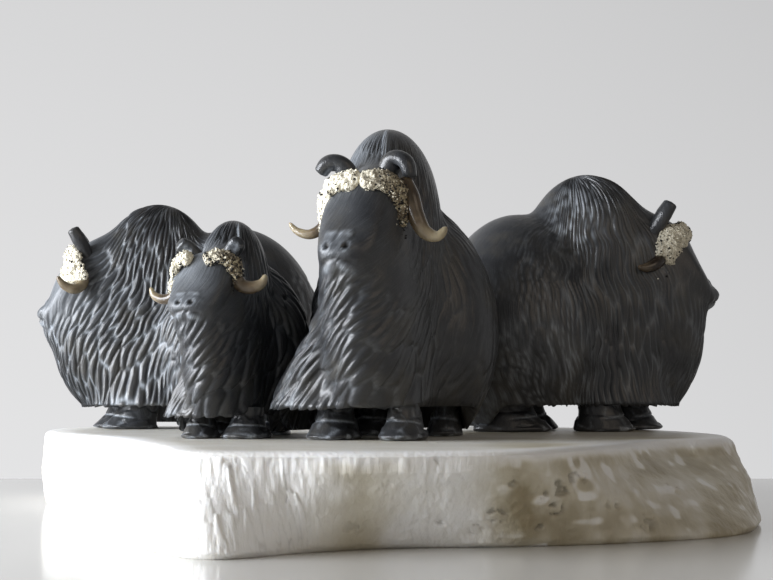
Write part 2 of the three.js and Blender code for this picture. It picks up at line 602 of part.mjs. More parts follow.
// The slab's side from the polished top down to its foot: height, share of the way from the foot
// outline to the top outline, inward step and splinter depth.
const SLAB_LEVELS = [[SLAB_THICK, 1, 5, 0], [SLAB_THICK - 1.8, 1, 1.2, 0.5], [SLAB_THICK - 8, 0.9, 0, 1.6],
  [SLAB_THICK / 2, 0.5, -1.5, 2], [6, 0.12, 0, 1.8], [0, 0, 2, 1]];
const SLAB_COLUMNS = 90;

// A broken alabaster slab with a flat polished top and upright splinters on its sides.
function slab() {
  const curve = (first) => new THREE.CatmullRomCurve3(
    SLAB_OUTLINE.map((corner) => new THREE.Vector3(corner[first], corner[first + 1], 0)), true,
  );
  const topEdge = curve(0);
  const footEdge = curve(2);
  const rings = SLAB_LEVELS.map(([z, share, inward, depth]) => {
    const ring = [];
    for (let column = 0; column < SLAB_COLUMNS; column += 1) {
      const round = column / SLAB_COLUMNS;
      const place = footEdge.getPoint(round).lerp(topEdge.getPoint(round), share);
      const radius = place.length();
      place.multiplyScalar((radius - inward + unevenness(column) * depth) / radius);
      place.z = z;
      ring.push(place);
    }
    return ring;
  });
  const solid = toSolid(closedSurface(new THREE.Vector3(0, 0, SLAB_THICK), rings, new THREE.Vector3()));
  return makeMesh("base_slab", solid, ALABASTER);
}

const group = new THREE.Group();
group.add(slab());
for (const [name, ox] of Object.entries(HERD)) {
  const animal = name === "lead" ? leadOx(name, ox) : companionOx(name, ox);
  animal.position.set(ox.x, ox.y, SLAB_THICK + GAP);
  animal.rotation.z = radians(ox.heading);
  group.add(animal);
}

// The origin is moved under the middle of the whole group's box.
const middle = new THREE.Box3().setFromObject(group).getCenter(new THREE.Vector3()).setZ(0);
for (const piece of group.children) piece.position.sub(middle);

export default group;
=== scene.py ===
# %% [markdown]
# # Four muskoxen carved in dark stone
# The real thing is a small ornament. Four oxen, each cut from one lump of dark polished stone, stand
# outward in a part circle on a thick broken slab of white alabaster. Horns of polished amber-brown
# horn are set into bosses of rough cream paste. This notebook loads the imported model, which has
# every main form at its place, and lays a finer carved surface over each form.

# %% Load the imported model
import bpy
import math
import numpy as np
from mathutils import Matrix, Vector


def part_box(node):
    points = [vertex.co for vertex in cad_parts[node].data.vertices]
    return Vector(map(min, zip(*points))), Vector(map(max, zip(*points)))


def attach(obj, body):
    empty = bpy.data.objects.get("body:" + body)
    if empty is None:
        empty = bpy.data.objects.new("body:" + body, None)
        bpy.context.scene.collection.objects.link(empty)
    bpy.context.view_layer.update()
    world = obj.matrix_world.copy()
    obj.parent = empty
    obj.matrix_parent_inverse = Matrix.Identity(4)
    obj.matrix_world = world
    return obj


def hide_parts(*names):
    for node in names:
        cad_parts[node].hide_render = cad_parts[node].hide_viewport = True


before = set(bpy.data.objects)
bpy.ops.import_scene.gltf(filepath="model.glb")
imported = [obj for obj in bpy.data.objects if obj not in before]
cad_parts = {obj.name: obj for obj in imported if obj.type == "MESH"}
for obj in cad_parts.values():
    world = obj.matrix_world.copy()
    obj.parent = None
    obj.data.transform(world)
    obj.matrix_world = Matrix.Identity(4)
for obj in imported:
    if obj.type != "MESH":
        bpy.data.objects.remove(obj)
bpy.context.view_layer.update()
print("packed model:", len(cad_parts), "nodes")

# %% [markdown]
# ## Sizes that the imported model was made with
# All shapes below are worked out in millimetres in the group's own frame, with the viewer at -Y.
# An ox is described in fractions of its hump height, so one set of proportions serves all four.
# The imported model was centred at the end, so the same small move is read from one hoof's box.

# %% Driving sizes
MM = 0.001
LEAD_HEIGHT = 150
SLAB_THICK = 40
GAP = 0.3
HEM = 0.1
CORE_X = -0.06
CORE_Z = 0.45
LONGEST_REACH = 1.2
HALVINGS = 17
NECK_X = 0.1
BLEND = 0.022
JOIN_SWELL = 1.8
HEM_TURN = 0.9
FRONT_CROWDING = 0.38

PLAIN_OX = dict(
    saddle=0.85, beard_x=0.245, beard_lean=0, skirt_x=0.09, mane_swing=0, beard_swing=0, skirt_swing=0,
    head_turn=0, head_shift=0, head_drop=0, head_wide=1, nose=0, nostril=0.023, muzzle_swing=0,
    face_x=0.393, ear_shift=0, ear_thick=1, horn_lift=(0, 0), horn_thick=(1, 1), hem_lifts=(), fills=(),
    toe=0.026, sweep=0, sweep_from=0, forward=0)

HERD = {
    "lead": dict(
        PLAIN_OX, height=LEAD_HEIGHT, x=8, y=-27, heading=-105, rump=0.5, saddle=0.81, skirt_wide=0.27,
        mane_swing=0.034, skirt_swing=-0.102, head_shift=0.018, nose_drop=-0.01, nostril=0.029,
        muzzle_swing=-0.039, chin_x=0.42, ears=("hood", "side"), ear_thick=1.1,
        bosses=("out", "apart"), horns=("beside", "out"), horn_lift=(0, 0.016), horn_thick=(1.15, 0.72),
        curtain=(2.15, 5), hem_lifts=((1.25, 0.45, 0.04), (0.02, 0.13, 0.02)),
        legs=((0.13, 0.094, 1, 1), (0.13, -0.13, 1, 1.15), (-0.275, 0.136, 1, 0.8), (-0.275, -0.12, 1, 1)),
        fills=((0.25, 0.29, 0.12, 0.11, 0.27, -0.108, 0.4, 0.66),),
        sweep=-1.55, sweep_from=-0.5, forward=-0.1),
    "young": dict(
        PLAIN_OX, height=LEAD_HEIGHT * 0.713, x=-68, y=-13, heading=-99, rump=0.56, skirt_wide=0.24,
        beard_swing=-0.03, skirt_swing=-0.07, head_turn=-8, head_shift=-0.01, head_drop=-0.008,
        head_wide=1.36, nose_drop=-0.02, nostril=0.022, muzzle_swing=-0.018, chin_x=0.41,
        ears=("front", "front"), ear_thick=1.25, bosses=("high", "strip"), horns=("high", "high"),
        horn_lift=(0.036, -0.01), horn_thick=(1.25, 1), curtain=(1.75, 4.85),
        hem_lifts=((0.9, 0.5, 0.02),),
        legs=((0.13, 0.105, 1.16, 1.5), (0.13, -0.108, 1.16, 1.16), (-0.31, 0.12, 1.2, 1.2),
              (-0.31, -0.12, 1.2, 1.2)),
        toe=0.02, sweep=-1.2, sweep_from=-0.4),
    "leftward": dict(
        PLAIN_OX, height=LEAD_HEIGHT * 0.883, x=-128, y=133, heading=187, rump=0.76, saddle=0.91,
        beard_x=0.244, beard_lean=0.14, skirt_wide=0.23, skirt_x=0.035, head_drop=0.015, nose=0.024,
        nose_drop=0.03, face_x=0.386, chin_x=0.45, ears=("up", "up"), ear_shift=0.045,
        bosses=("forward", "forward"), horns=("forward", "forward"), curtain=(3.24, 5.3),
        legs=((0.07, 0.102, 1.2, 1.12), (0.13, -0.102, 1.1, 1.1), (-0.475, 0.12, 1.1, 1.1),
              (-0.41, -0.12, 1.1, 1.1)),
        toe=0.046, forward=0.85),
    "rightward": dict(
        PLAIN_OX, height=LEAD_HEIGHT * 0.96, x=122, y=88, heading=5, rump=0.63, beard_x=0.239,
        beard_lean=0.025, skirt_wide=0.21, skirt_x=0.08, head_drop=0.01, nose=0.016, nose_drop=0.014,
        face_x=0.388, chin_x=0.39, ears=("low", "up"), ear_shift=-0.02, ear_thick=1.08,
        bosses=("back", "back"), horns=("back", "back"), curtain=(2.05, 3.7),
        legs=((0.177, 0.102, 1.1, 1.1), (0.01, -0.102, 1.15, 1.1), (-0.24, 0.12, 1.1, 1.1),
              (-0.35, -0.12, 1.45, 1.1)),
        forward=0.3),
}
SIDE_NAMES = ("left", "right")
SIDE_SIGNS = (1, -1)


# %% Small tools for arrays
def step(value, low, high):
    """0 below low, 1 above high and a smooth S between: t times t times (3 minus twice t)."""
    t = np.clip((value - low) / (high - low), 0, 1)
    return t * t * (3 - 2 * t)


def bump(value, middle, width):
    """1 at the middle, falling off as a bell whose half width is given."""
    return np.exp(-((value - middle) / width) ** 2)


def unit(vectors):
    """The same vectors made 1 long."""
    return vectors / np.maximum(np.linalg.norm(vectors, axis=-1, keepdims=True), 1e-12)


def chance(x, y, z, seed):
    """A repeatable value from -1 to 1 for each whole-numbered place: the fraction of a large sine."""
    wave = np.sin(x * 127.1 + y * 311.7 + z * 74.7 + seed * 53.3) * 43758.5453
    return 2 * (wave - np.floor(wave)) - 1


def noise(points, size, seed=0):
    """Smooth unevenness from -1 to 1. Each corner of a lattice of the given size, one number or one
    for each axis, has a chance value, and a point takes the mix of its cell's eight corners."""
    scaled = np.asarray(points) / np.asarray(size)
    low = np.floor(scaled)
    share = scaled - low
    share = share * share * (3 - 2 * share)
    total = 0
    for corner in range(8):
        pick = np.array([corner & 1, corner >> 1 & 1, corner >> 2])
        weight = np.prod(np.where(pick, share, 1 - share), axis=-1)
        place = low + pick
        total = total + weight * chance(place[..., 0], place[..., 1], place[..., 2], seed)
    return total


def placed(ox, points):
    """Points of an ox's own frame, in fractions of its height, in millimetres of the group: turned
    by its heading, scaled by its height and moved to where it stands on the slab."""
    turn = math.radians(ox["heading"])
    x = points[..., 0] * math.cos(turn) - points[..., 1] * math.sin(turn)
    y = points[..., 0] * math.sin(turn) + points[..., 1] * math.cos(turn)
    scaled = np.stack([x, y, points[..., 2]], axis=-1) * ox["height"]
    return scaled + np.array([ox["x"], ox["y"], SLAB_THICK + GAP])


# %% The centring move, from the lead ox's hind right hoof
HOOF_FORWARD = 0.024
low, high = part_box("lead_leg_hind_right")
hoof = np.array([HERD["lead"]["legs"][3][0] + HOOF_FORWARD, HERD["lead"]["legs"][3][1], 0])
nominal = placed(HERD["lead"], hoof)
SHIFT = np.array([(low.x + high.x) / 2 / MM - nominal[0], (low.y + high.y) / 2 / MM - nominal[1], 0])
print("centring move in mm:", SHIFT.round(3))

# %% [markdown]
# ## Camera, floor and light
# The picture was taken from a little above the slab with a long lens, looking slightly up. A focal
# length in pixels gives the lens once the sensor's width is known, and the row of the horizon gives
# the tilt. The light comes from a broad lamp at the left, and from a world that is brightest behind
# the group and at the left, and dimmer overhead. The background is the world's own colour, so that it
# hides nothing when the group is seen from behind.

# %% Camera
PICTURE_WIDTH = 773
PICTURE_HEIGHT = 580
FOCAL_PIXELS = 1500
HORIZON_ROW = 383
EYE = np.array([8, -756, 66.6])
SENSOR = 36

tilt = math.atan((HORIZON_ROW - PICTURE_HEIGHT / 2) / FOCAL_PIXELS)
camera_data = bpy.data.cameras.new("camera")
camera_data.sensor_width = SENSOR
camera_data.lens = FOCAL_PIXELS / PICTURE_WIDTH * SENSOR
camera = bpy.data.objects.new("camera", camera_data)
camera.location = (EYE + SHIFT) * MM
camera.rotation_euler = (math.pi / 2 + tilt, 0, 0)
bpy.context.collection.objects.link(camera)
bpy.context.scene.camera = camera
bpy.context.scene.view_settings.view_transform = "Standard"
print("lens in mm:", round(camera_data.lens, 2), "tilt in degrees:", round(math.degrees(tilt), 2))


# %% Colours and nodes
def linear(code):
    """An sRGB hex colour such as #3f4246 as linear red, green, blue and 1."""
    parts = [int(code[i:i + 2], 16) / 255 for i in (1, 3, 5)]
    return (*[p / 12.92 if p <= 0.04045 else ((p + 0.055) / 1.055) ** 2.4 for p in parts], 1)


def plug(tree, node, inputs):
    """Links each named input of a node to a socket, or sets it to a value."""
    for name, value in inputs.items():
        if isinstance(value, bpy.types.NodeSocket):
            tree.links.new(value, node.inputs[name])
        else:
            node.inputs[name].default_value = value


def add_node(tree, kind, inputs, output, stops=(), **settings):
    """The named output of a new node of the kind, with its settings and its inputs. A colour ramp
    also gets its stops of place and hex colour."""
    node = tree.nodes.new(kind)
    for name, value in settings.items():
        setattr(node, name, value)
    plug(tree, node, inputs)
    for _ in stops[2:]:
        node.color_ramp.elements.new(0.5)
    for index, (place, code) in enumerate(stops):
        node.color_ramp.elements[index].position = place
        node.color_ramp.elements[index].color = linear(code)
    return node.outputs[output]


def new_material(name):
    """An empty node material, its tree and its shader."""
    material = bpy.data.materials.new(name)
    material.use_nodes = True
    return material, material.node_tree, material.node_tree.nodes["Principled BSDF"]


# %% Floor and world
FLOOR_BACK = 296
FLOOR_SIDE = 1600
FLOOR_FRONT = -1800
WORLD_MIDDLE = 0.33
WORLD_SLOPES = (("X", -0.2, 0), ("Y", 0.42, 0.35), ("Z", -0.3, 0.08))

floor_mesh = bpy.data.meshes.new("shelf_top")
floor_corners = [(-FLOOR_SIDE, FLOOR_FRONT), (FLOOR_SIDE, FLOOR_FRONT), (FLOOR_SIDE, FLOOR_BACK),
                 (-FLOOR_SIDE, FLOOR_BACK)]
floor_mesh.from_pydata([(x * MM, y * MM, 0) for x, y in floor_corners], [], [(0, 1, 2, 3)])
floor = bpy.data.objects.new("shelf_top", floor_mesh)
bpy.context.collection.objects.link(floor)

lacquer, tree, shader = new_material("white_lacquered_board")
plug(tree, shader, {"Base Color": linear("#d3d1cc"), "Roughness": 0.14})
floor_mesh.materials.append(lacquer)

# The light of the room grows by a slope along each axis in turn, and stays above a least strength.
world = bpy.data.worlds.new("pale_room")
bpy.context.scene.world = world
world.use_nodes = True
tree = world.node_tree
tree.nodes.clear()
way = add_node(tree, "ShaderNodeTexCoord", {}, "Generated")
strength = WORLD_MIDDLE
for axis, slope, least in WORLD_SLOPES:
    along = add_node(tree, "ShaderNodeSeparateXYZ", {"Vector": way}, axis)
    grown = add_node(tree, "ShaderNodeMath", {0: along, 1: slope, 2: strength}, "Value",
                     operation="MULTIPLY_ADD")
    strength = add_node(tree, "ShaderNodeMath", {0: grown, 1: least}, "Value", operation="MAXIMUM")
sky = add_node(tree, "ShaderNodeBackground", {"Color": linear("#fbfbfc"), "Strength": strength}, "Background")
plug(tree, tree.nodes.new("ShaderNodeOutputWorld"), {"Surface": sky})


# %% Lamps
LAMP_TARGET = (0, 0, 90)


def area_light(name, place, width, height, power, colour):
    """A flat lamp of the given size at a place, both in millimetres, turned to face the target."""
    data = bpy.data.lights.new(name, "AREA")
    data.shape = "RECTANGLE"
    data.size = width * MM
    data.size_y = height * MM
    data.energy = power
    data.color = linear(colour)[:3]
    lamp = bpy.data.objects.new(name, data)
    aim = unit(np.array(LAMP_TARGET, float) - np.array(place, float))
    lamp.location = np.array(place) * MM
    lamp.rotation_euler = (math.acos(-aim[2]), 0, math.atan2(aim[1], aim[0]) - math.pi / 2)
    bpy.context.collection.objects.link(lamp)


area_light("window", (-1110, -330, 350), 900, 620, 33, "#f4f8ff")
area_light("room_fill", (900, -900, 700), 700, 700, 1.6, "#ffe9cf")
print("floor, world and two lamps")


# %% [markdown]
# ## One mesh from many shells
# A piece may be made of several closed shells, such as a coat with its legs and ears. Each shell is
# a grid of points, closed round one way, with a point at each end. Faces are worked out as arrays of
# point numbers, so that no loop runs over the points, and values that the finish needs, such as how
# pale a spot is, travel along as attributes.

# %% Shells and pieces
def shell(first, rings, last, **values):
    """A closed tube: rings of points (rows, columns, 3) with an end point at each side. The faces are
    squares between neighbouring rows and columns, and triangles round each end point."""
    rows, columns = rings.shape[:2]
    points = np.concatenate([first[None], rings.reshape(-1, 3), last[None]])
    here = 1 + np.arange(columns)
    ahead = 1 + (np.arange(columns) + 1) % columns
    down = np.arange(rows - 1)[:, None] * columns
    squares = np.stack([here + down, here + down + columns, ahead + down + columns, ahead + down], -1)
    end = (rows - 1) * columns
    caps = [np.stack([np.zeros(columns, int), here, ahead], -1),
            np.stack([end + here, np.full(columns, len(points) - 1), end + ahead], -1)]
    full = {}
    for name, value in values.items():
        width = value.shape[2:] if np.ndim(value) == 3 else ()
        flat = np.broadcast_to(value, (rows, columns, *width)).reshape(rows * columns, *width)
        full[name] = np.concatenate([flat[:1], flat, flat[-1:]])
    return dict(points=points, squares=squares.reshape(-1, 4), caps=np.concatenate(caps), values=full)


def facing_out(one):
    """The shell with its faces turned so that the volume under them is positive."""
    a, b, c, d = (one["points"][one["squares"][:, k]] for k in range(4))
    if (a * (np.cross(b, c) + np.cross(c, d))).sum() < 0:
        one["squares"] = one["squares"][:, ::-1]
        one["caps"] = one["caps"][:, ::-1]
    return one


def make_piece(name, shells, material, nodes):
    """A mesh object from shells given in millimetres of the group. It rides on the one body, takes
    the material and its slot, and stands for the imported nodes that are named."""
    points, faces, values = [], [], {}
    count = 0
    for one in map(facing_out, shells):
        points.append(one["points"])
        faces += (one["squares"] + count).tolist() + (one["caps"] + count).tolist()
        for key, value in one["values"].items():
            values.setdefault(key, []).append(value)
        count += len(one["points"])
    mesh = bpy.data.meshes.new(name)
    mesh.from_pydata(((np.concatenate(points) + SHIFT) * MM).tolist(), [], faces)
    mesh.polygons.foreach_set("use_smooth", np.ones(len(mesh.polygons), bool))
    for key, parts in values.items():
        full = np.concatenate(parts).astype(np.float32)
        kind, field = ("FLOAT", "value") if full.ndim == 1 else ("FLOAT_VECTOR", "vector")
        mesh.attributes.new(key, kind, "POINT").data.foreach_set(field, full.ravel())
    mesh.materials.append(material)
    piece = bpy.data.objects.new(name, mesh)
    bpy.context.collection.objects.link(piece)
    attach(piece, "root")
    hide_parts(*nodes)
    print(f"{name}: {sum(len(face) - 2 for face in faces)} triangles")


# %% [markdown]
# ## The masses of an ox
# A muskox in its long coat is a few rounded masses: barrel, shoulders, hump, mane, beard, skirt,
# skull, face and muzzle. Each is a rounded blob, and the coat is where their blended distance is
# zero. The blend is a soft minimum, which fills the creases as a polisher's cloth would.

# %% Masses and their blended surface
BARREL_FRONT = 0.05
BARREL_BOTTOM = -0.12
BLOB_KEYS = ("x", "z", "rx", "ry", "rz", "n", "nz", "swing", "tilt", "head", "lean", "slant")


def masses(ox):
    """Middle, half sizes, squareness in plan and profile, sideways swing, tilt and whether the mass
    belongs to the head, for each mass of an ox, as fractions of its height. A fill also leans
    forward and slants sideways as it rises."""
    half = (ox["rump"] + BARREL_FRONT) / 2
    rise = (ox["saddle"] - BARREL_BOTTOM) / 2
    mane = ox["mane_swing"]
    muzzle = ox["muzzle_swing"]
    drop = ox["nose_drop"]
    rows = dict(
        barrel=(BARREL_FRONT - half, ox["saddle"] - rise, half, 0.335, rise, 2.2, 1.9, 0, 0, False),
        shoulders=(0, 0.4, 0.35, 0.18, 0.5, 2.2, 2.2, 0, 0, False),
        hump=(0, 0.7, 0.255, 0.172, 0.312, 2, 2, mane * 0.3, 0, False),
        mane=(0.16, 0.5, 0.27, 0.14, 0.375, 2.2, 2.2, mane, 0, False),
        beard=(ox["beard_x"], 0.42, 0.232, 0.14, 0.36, 2.2, 2.2, ox["beard_swing"], ox["beard_lean"], False),
        skirt=(ox["skirt_x"], 0.03, 0.275, ox["skirt_wide"], 0.4, 2.2, 1.5, ox["skirt_swing"], 0, False),
        skull=(0.3, 0.72, 0.1, 0.1, 0.105, 2, 2, 0, 0, True),
        face=(ox["face_x"], 0.645 - drop / 2, 0.155, 0.105, 0.048, 2.4, 2.6, muzzle / 2, 0.985, True),
        muzzle=(0.466 + ox["nose"], 0.545 - drop, 0.04, 0.056, 0.036, 2.4, 2.4, muzzle, 0, True),
        chin=(ox["chin_x"], 0.475 - drop, 0.05, 0.07, 0.075, 2.2, 2.2, muzzle, 0, True),
    )
    rows = [row + (0, 0) for row in rows.values()]
    for x, z, rx, ry, rz, swing, lean, slant in ox["fills"]:
        rows.append((x, z, rx, ry, rz, 2.2, 2.2, swing, 0, False, lean, slant))
    return [dict(zip(BLOB_KEYS, row)) for row in rows]


def head_place(ox, x, y, z):
    """Where a point of the body's frame lies in the head's own frame: turned back about the neck,
    then shifted, narrowed and lifted by the head's own amounts."""
    turn = math.radians(ox["head_turn"])
    forward = NECK_X + (x - NECK_X) * math.cos(turn) + y * math.sin(turn)
    aside = (y * math.cos(turn) - (x - NECK_X) * math.sin(turn) - ox["head_shift"]) / ox["head_wide"]
    return forward, aside, z + ox["head_drop"]


def outside(ox, x, y, z):
    """How far a point is outside the blended masses, negative inside. The distance to one mass is
    the reach from its middle minus that reach over its level, where the level is 1 on its skin."""
    hx, hy, hz = head_place(ox, x, y, z)
    total = 0
    for blob in masses(ox):
        px, py, pz = (hx, hy, hz) if blob["head"] else (x, y, z)
        dz = pz - blob["z"]
        dx = px - blob["x"] - blob["lean"] * dz
        dy = py - blob["swing"] - blob["slant"] * dz
        along = dx * math.cos(blob["tilt"]) - dz * math.sin(blob["tilt"])
        across = dx * math.sin(blob["tilt"]) + dz * math.cos(blob["tilt"])
        reach = np.sqrt(along ** 2 + dy ** 2 + across ** 2) + 1e-9
        n, nz = blob["n"], blob["nz"]
        plan = (np.abs(along / blob["rx"]) ** n + np.abs(dy / blob["ry"]) ** n) ** (1 / n)
        level = (plan ** nz + np.abs(across / blob["rz"]) ** nz) ** (1 / nz) + 1e-9
        total = total + np.exp(-(reach - reach / level) / BLEND)
    return -BLEND * np.log(total / JOIN_SWELL)


def reach_along(ox, start, way):
    """The distance from a start point to the surface along each way: an interval is halved again
    and again, and the half whose near end is inside is kept."""
    near = np.zeros(way.shape[:-1])
    far = np.full(way.shape[:-1], LONGEST_REACH)
    for _ in range(HALVINGS):
        middle = (near + far) / 2
        at = start + way * middle[..., None]
        inside = outside(ox, at[..., 0], at[..., 1], at[..., 2]) < 0
        near = np.where(inside, middle, near)
        far = np.where(inside, far, middle)
    return near


# %% [markdown]
# ## The coat as a grid
# One grid covers an ox from the top of the hump to the hem. Columns run down the lie of the hair and
# stand closer at the front, rows fall from hump to hem. The skin is found smooth first. Its carving
# is then added along the surface's own normals, measured in real millimetres round and down, so
# that a furrow keeps its width where the body swells.

# %% The smooth coat
SWEEP_START = 0.35
SWEEP_POWER = 1.7
HEM_ANGLES = 721
MEASURE_FALL = 0.62
CURTAIN_DROP = 0.08
CURTAIN_EDGE = 0.15


def hem_height(ox, azimuth):
    """Underside of the coat: open on the viewer's side, down to just above the slab on the side away
    from the viewer, where no light comes through, and lifted a little in places."""
    around = np.mod(azimuth, 2 * math.pi)
    start, end = ox["curtain"]
    height = HEM - CURTAIN_DROP * (step(around, start - CURTAIN_EDGE, start + CURTAIN_EDGE)
                                   - step(around, end - CURTAIN_EDGE, end + CURTAIN_EDGE))
    for middle, width, lift in ox["hem_lifts"]:
        height = height + lift * bump(azimuth, middle, width)
    return height


def turned_in(angle):
    """The same angle brought between minus and plus half a turn."""
    return np.arctan2(np.sin(angle), np.cos(angle))


def level_way(angle):
    """Level directions at angles from straight ahead."""
    return np.stack([np.cos(angle), np.sin(angle), 0 * angle], -1)


def smooth_coat(ox, columns, rows):
    """Azimuth, fall, the hem's reach and the place of every grid point. A direction leans from
    straight up at fall 0 to the hem at fall 1, and its azimuth turns with the coat's sweep."""
    even = 2 * math.pi * np.arange(columns) / columns
    base = even - FRONT_CROWDING * np.sin(even)
    base = np.where(base > math.pi, base - 2 * math.pi, base)[None, :]
    fall = (np.arange(1, rows + 1) / rows)[:, None]
    frontness = (1 + np.cos(base - ox["sweep_from"])) / 2
    fallen = np.clip((fall - SWEEP_START) / (1 - SWEEP_START), 0, 1) ** SWEEP_POWER
    azimuth = (base + ox["sweep"] * frontness * fallen
               - ox["forward"] * np.sin(base) * step(fall, 0.05, 1.1))
    angles = np.linspace(-math.pi, math.pi, HEM_ANGLES)
    floor_core = np.stack([CORE_X + 0 * angles, 0 * angles, hem_height(ox, angles)], -1)
    hem = reach_along(ox, floor_core, level_way(angles))
    hem_reach = np.interp(turned_in(azimuth), angles, hem)
    low = np.arctan2(hem_height(ox, turned_in(azimuth)) - CORE_Z, hem_reach)
    rise = math.pi / 2 + (low - math.pi / 2) * fall
    way = np.stack([np.cos(rise) * np.cos(azimuth), np.cos(rise) * np.sin(azimuth), np.sin(rise)], -1)
    core = np.array([CORE_X, 0, CORE_Z])
    points = core + way * reach_along(ox, core, way)[..., None]
    return azimuth, fall + 0 * base, hem_reach, points


def grid_normals(points):
    """Outward directions of a grid that is closed round its columns: the way round crossed with the
    way down."""
    down = np.gradient(points, axis=0)
    onward = np.roll(points, -1, axis=1) - np.roll(points, 1, axis=1)
    return unit(np.cross(down, onward))


def run_lengths(points):
    """Millimetres round from the nose to each column, signed by side and measured on one row, and
    millimetres down each column from the hump's top. Both follow the lie of the hair."""
    ring = points[int(len(points) * MEASURE_FALL)]
    around = np.linalg.norm(np.roll(ring, -1, axis=0) - ring, axis=-1)
    whole = around.sum()
    start = np.concatenate([[0], np.cumsum(around)[:-1]])
    aside = np.where(start > whole / 2, start - whole, start)
    steps = np.linalg.norm(np.diff(points, axis=0), axis=-1)
    down = np.concatenate([np.zeros((1, points.shape[1])), np.cumsum(steps, axis=0)])
    return aside[None, :] + 0 * down, down, whole


# %% [markdown]
# ## Carving
# The carver drew the long coat with a gouge, lock by lock. Each lock is a leaf: long, rounded on top,
# pointed at both ends and bordered by a sharp furrow, and the leaves lie staggered like shingles.
# Such a pattern is a lattice of middles, where every spot belongs to its nearest middle and the furrows run
# where two middles are equally near. Distances count less along the hair, which makes the cells long. Where
# the stone is scraped it is pale grey, and where it was polished it is dark. On the side of each ox that
# faces the lamp, pale is also painted on as highlight: the furrow lines are paler there, the lower tips of
# the locks are painted pale, and pale patches are painted on the planes that face the lamp.

# %% How each ox is carved
LOCK_POINTED = 1.35
LOCK_JITTER = 0.27
LOCK_SLIP = 0.35
SADDLE_EDGE = (2.3, 2.8)
SADDLE_FOOT = (0.45, 0.7)
FACE_TOP = (0.15, 0.3)
HEAD_FOLLOW = 0.8
WAVE_LONG = 34
LINE_WIDE = 0.36
CREST_HIGH = 0.45

PLAIN_CUT = dict(shoulder=0.75, foot=(0.6, 0.68), calm=(), scraped_and_highlit=(), painted_lighting=(), crest=None)

# lit and lit_wide are the azimuth and width of each ox's side towards the lamp; the pale tips, the stronger
# pale lines and the pale patches there are painted highlight.
CARVING = {
    "lead": dict(
        PLAIN_CUT, lock=5.0, long=27, depth=1.9, shoulder=0.9, shingle=1.5, waver=0.5, hair=0.14,
        face=(0.3, 0.62), foot=(0.63, 0.7), crown=(0.12, 0.26), line_pale=0.55, tip_highlight=0.85,
        line_away=0.3, lit=-1.3, lit_wide=0.75,
        calm=((1.75, 0.6, 0.85, 0.9, 0.8), (0.6, 0.66, 0.4, 0.1, 0.8)),
        scraped_and_highlit=((-0.9, 0.14, 0.5, 0.06, 0.9),), painted_lighting=((-0.45, 0.26, 0.5, 0.2, 0.42),),
        crest=(0.16, 0.09, 0.27)),
    "young": dict(
        PLAIN_CUT, lock=5.0, long=22, depth=1.9, shoulder=0.9, shingle=1.6, waver=0.4, hair=0.12,
        face=(0.35, 0.7), foot=(0.6, 0.66), crown=(0.08, 0.22), line_pale=0.5, tip_highlight=1.0,
        line_away=0.25, lit=-1.2, lit_wide=0.75, calm=((0.85, 0.6, 0.6, 0.25, 0.92),),
        scraped_and_highlit=((-1.4, 0.8, 0.14, 0.3, 0.5),), painted_lighting=((-0.45, 0.38, 0.45, 0.18, 0.5),),
        crest=(0.3, 0.09, 0.24)),
    "leftward": dict(
        PLAIN_CUT, lock=3.8, long=20, depth=1.6, shingle=0.6, waver=0.7, hair=0.08,
        face=(0.16, 0.4), crown=(0.02, 0.09), line_pale=0.75, line_away=0.7, tip_highlight=0.08,
        lit=1.2, lit_wide=2, painted_lighting=((0, 0.5, 0.3, 0.2, 0.4),)),
    "rightward": dict(
        PLAIN_CUT, lock=3.3, long=32, depth=1.2, shingle=0.4, waver=1.3, hair=0.12,
        face=(0.2, 0.46), crown=(0.01, 0.05), line_pale=0.5, line_away=0.45, tip_highlight=0.15,
        lit=-2.2, lit_wide=0.8, calm=((-2.75, 0.5, 0.6, 0.7, 0.9),),
        scraped_and_highlit=((-1.9, 0.16, 0.7, 0.1, 0.6),)),
}


# %% Locks and hair lines
def patches(azimuth, fall, spots):
    """How strong each patch is: a bell over azimuth times a bell over fall times its amount."""
    return [amount * bump(azimuth, middle, wide) * bump(fall, at, tall)
            for middle, at, wide, tall, amount in spots]


def lock_strength(ox, cut, azimuth, fall):
    """How much a place is carved, from 0 to 1: none on the face, the crown and the saddle, and less
    on the calm patches."""
    turned = np.abs(azimuth - math.radians(ox["head_turn"]) * HEAD_FOLLOW)
    face = (1 - step(turned, *cut["face"])) * step(fall, *FACE_TOP) * (1 - step(fall, *cut["foot"]))
    saddle = step(np.abs(azimuth), *SADDLE_EDGE) * (1 - step(fall, *SADDLE_FOOT))
    strength = step(fall, *cut["crown"]) * (1 - face) * (1 - saddle)
    for patch in patches(azimuth, fall, cut["calm"]):
        strength = strength * (1 - patch)
    return strength


def lock_cells(across, along, count, seed):
    """The leaf that each point lies in. Columns of leaves stand one apart across, each column slipped
    half a leaf along. The distance to a middle is the root of across squared plus the along distance
    squared times the pointedness squared. Returns half the gap between the two nearest distances,
    which is the distance to the furrow, then how far down the own leaf, and its chance value."""
    best = np.full(across.shape, 9.0)
    second = best.copy()
    down_leaf = np.zeros(across.shape)
    own = np.zeros(across.shape)
    for column in np.floor(across) + np.arange(-1, 3)[:, None, None]:
        ring = np.mod(column, count)
        slip = 0.5 * np.mod(ring, 2) + LOCK_SLIP * chance(ring, 0, 1, seed)
        near = np.round(along - slip)
        for row in (near - 1, near, near + 1):
            side = across - column - LOCK_JITTER * chance(ring, row, 2, seed)
            ahead = along - slip - row - LOCK_JITTER * chance(ring, row, 3, seed)
            away = np.hypot(side, LOCK_POINTED * ahead)
            nearer = away < best
            second = np.where(nearer, best, np.minimum(second, away))
            best = np.where(nearer, away, best)
            down_leaf = np.where(nearer, ahead, down_leaf)
            own = np.where(nearer, chance(ring, row, 4, seed), own)
    return (second - best) / 2, down_leaf, own


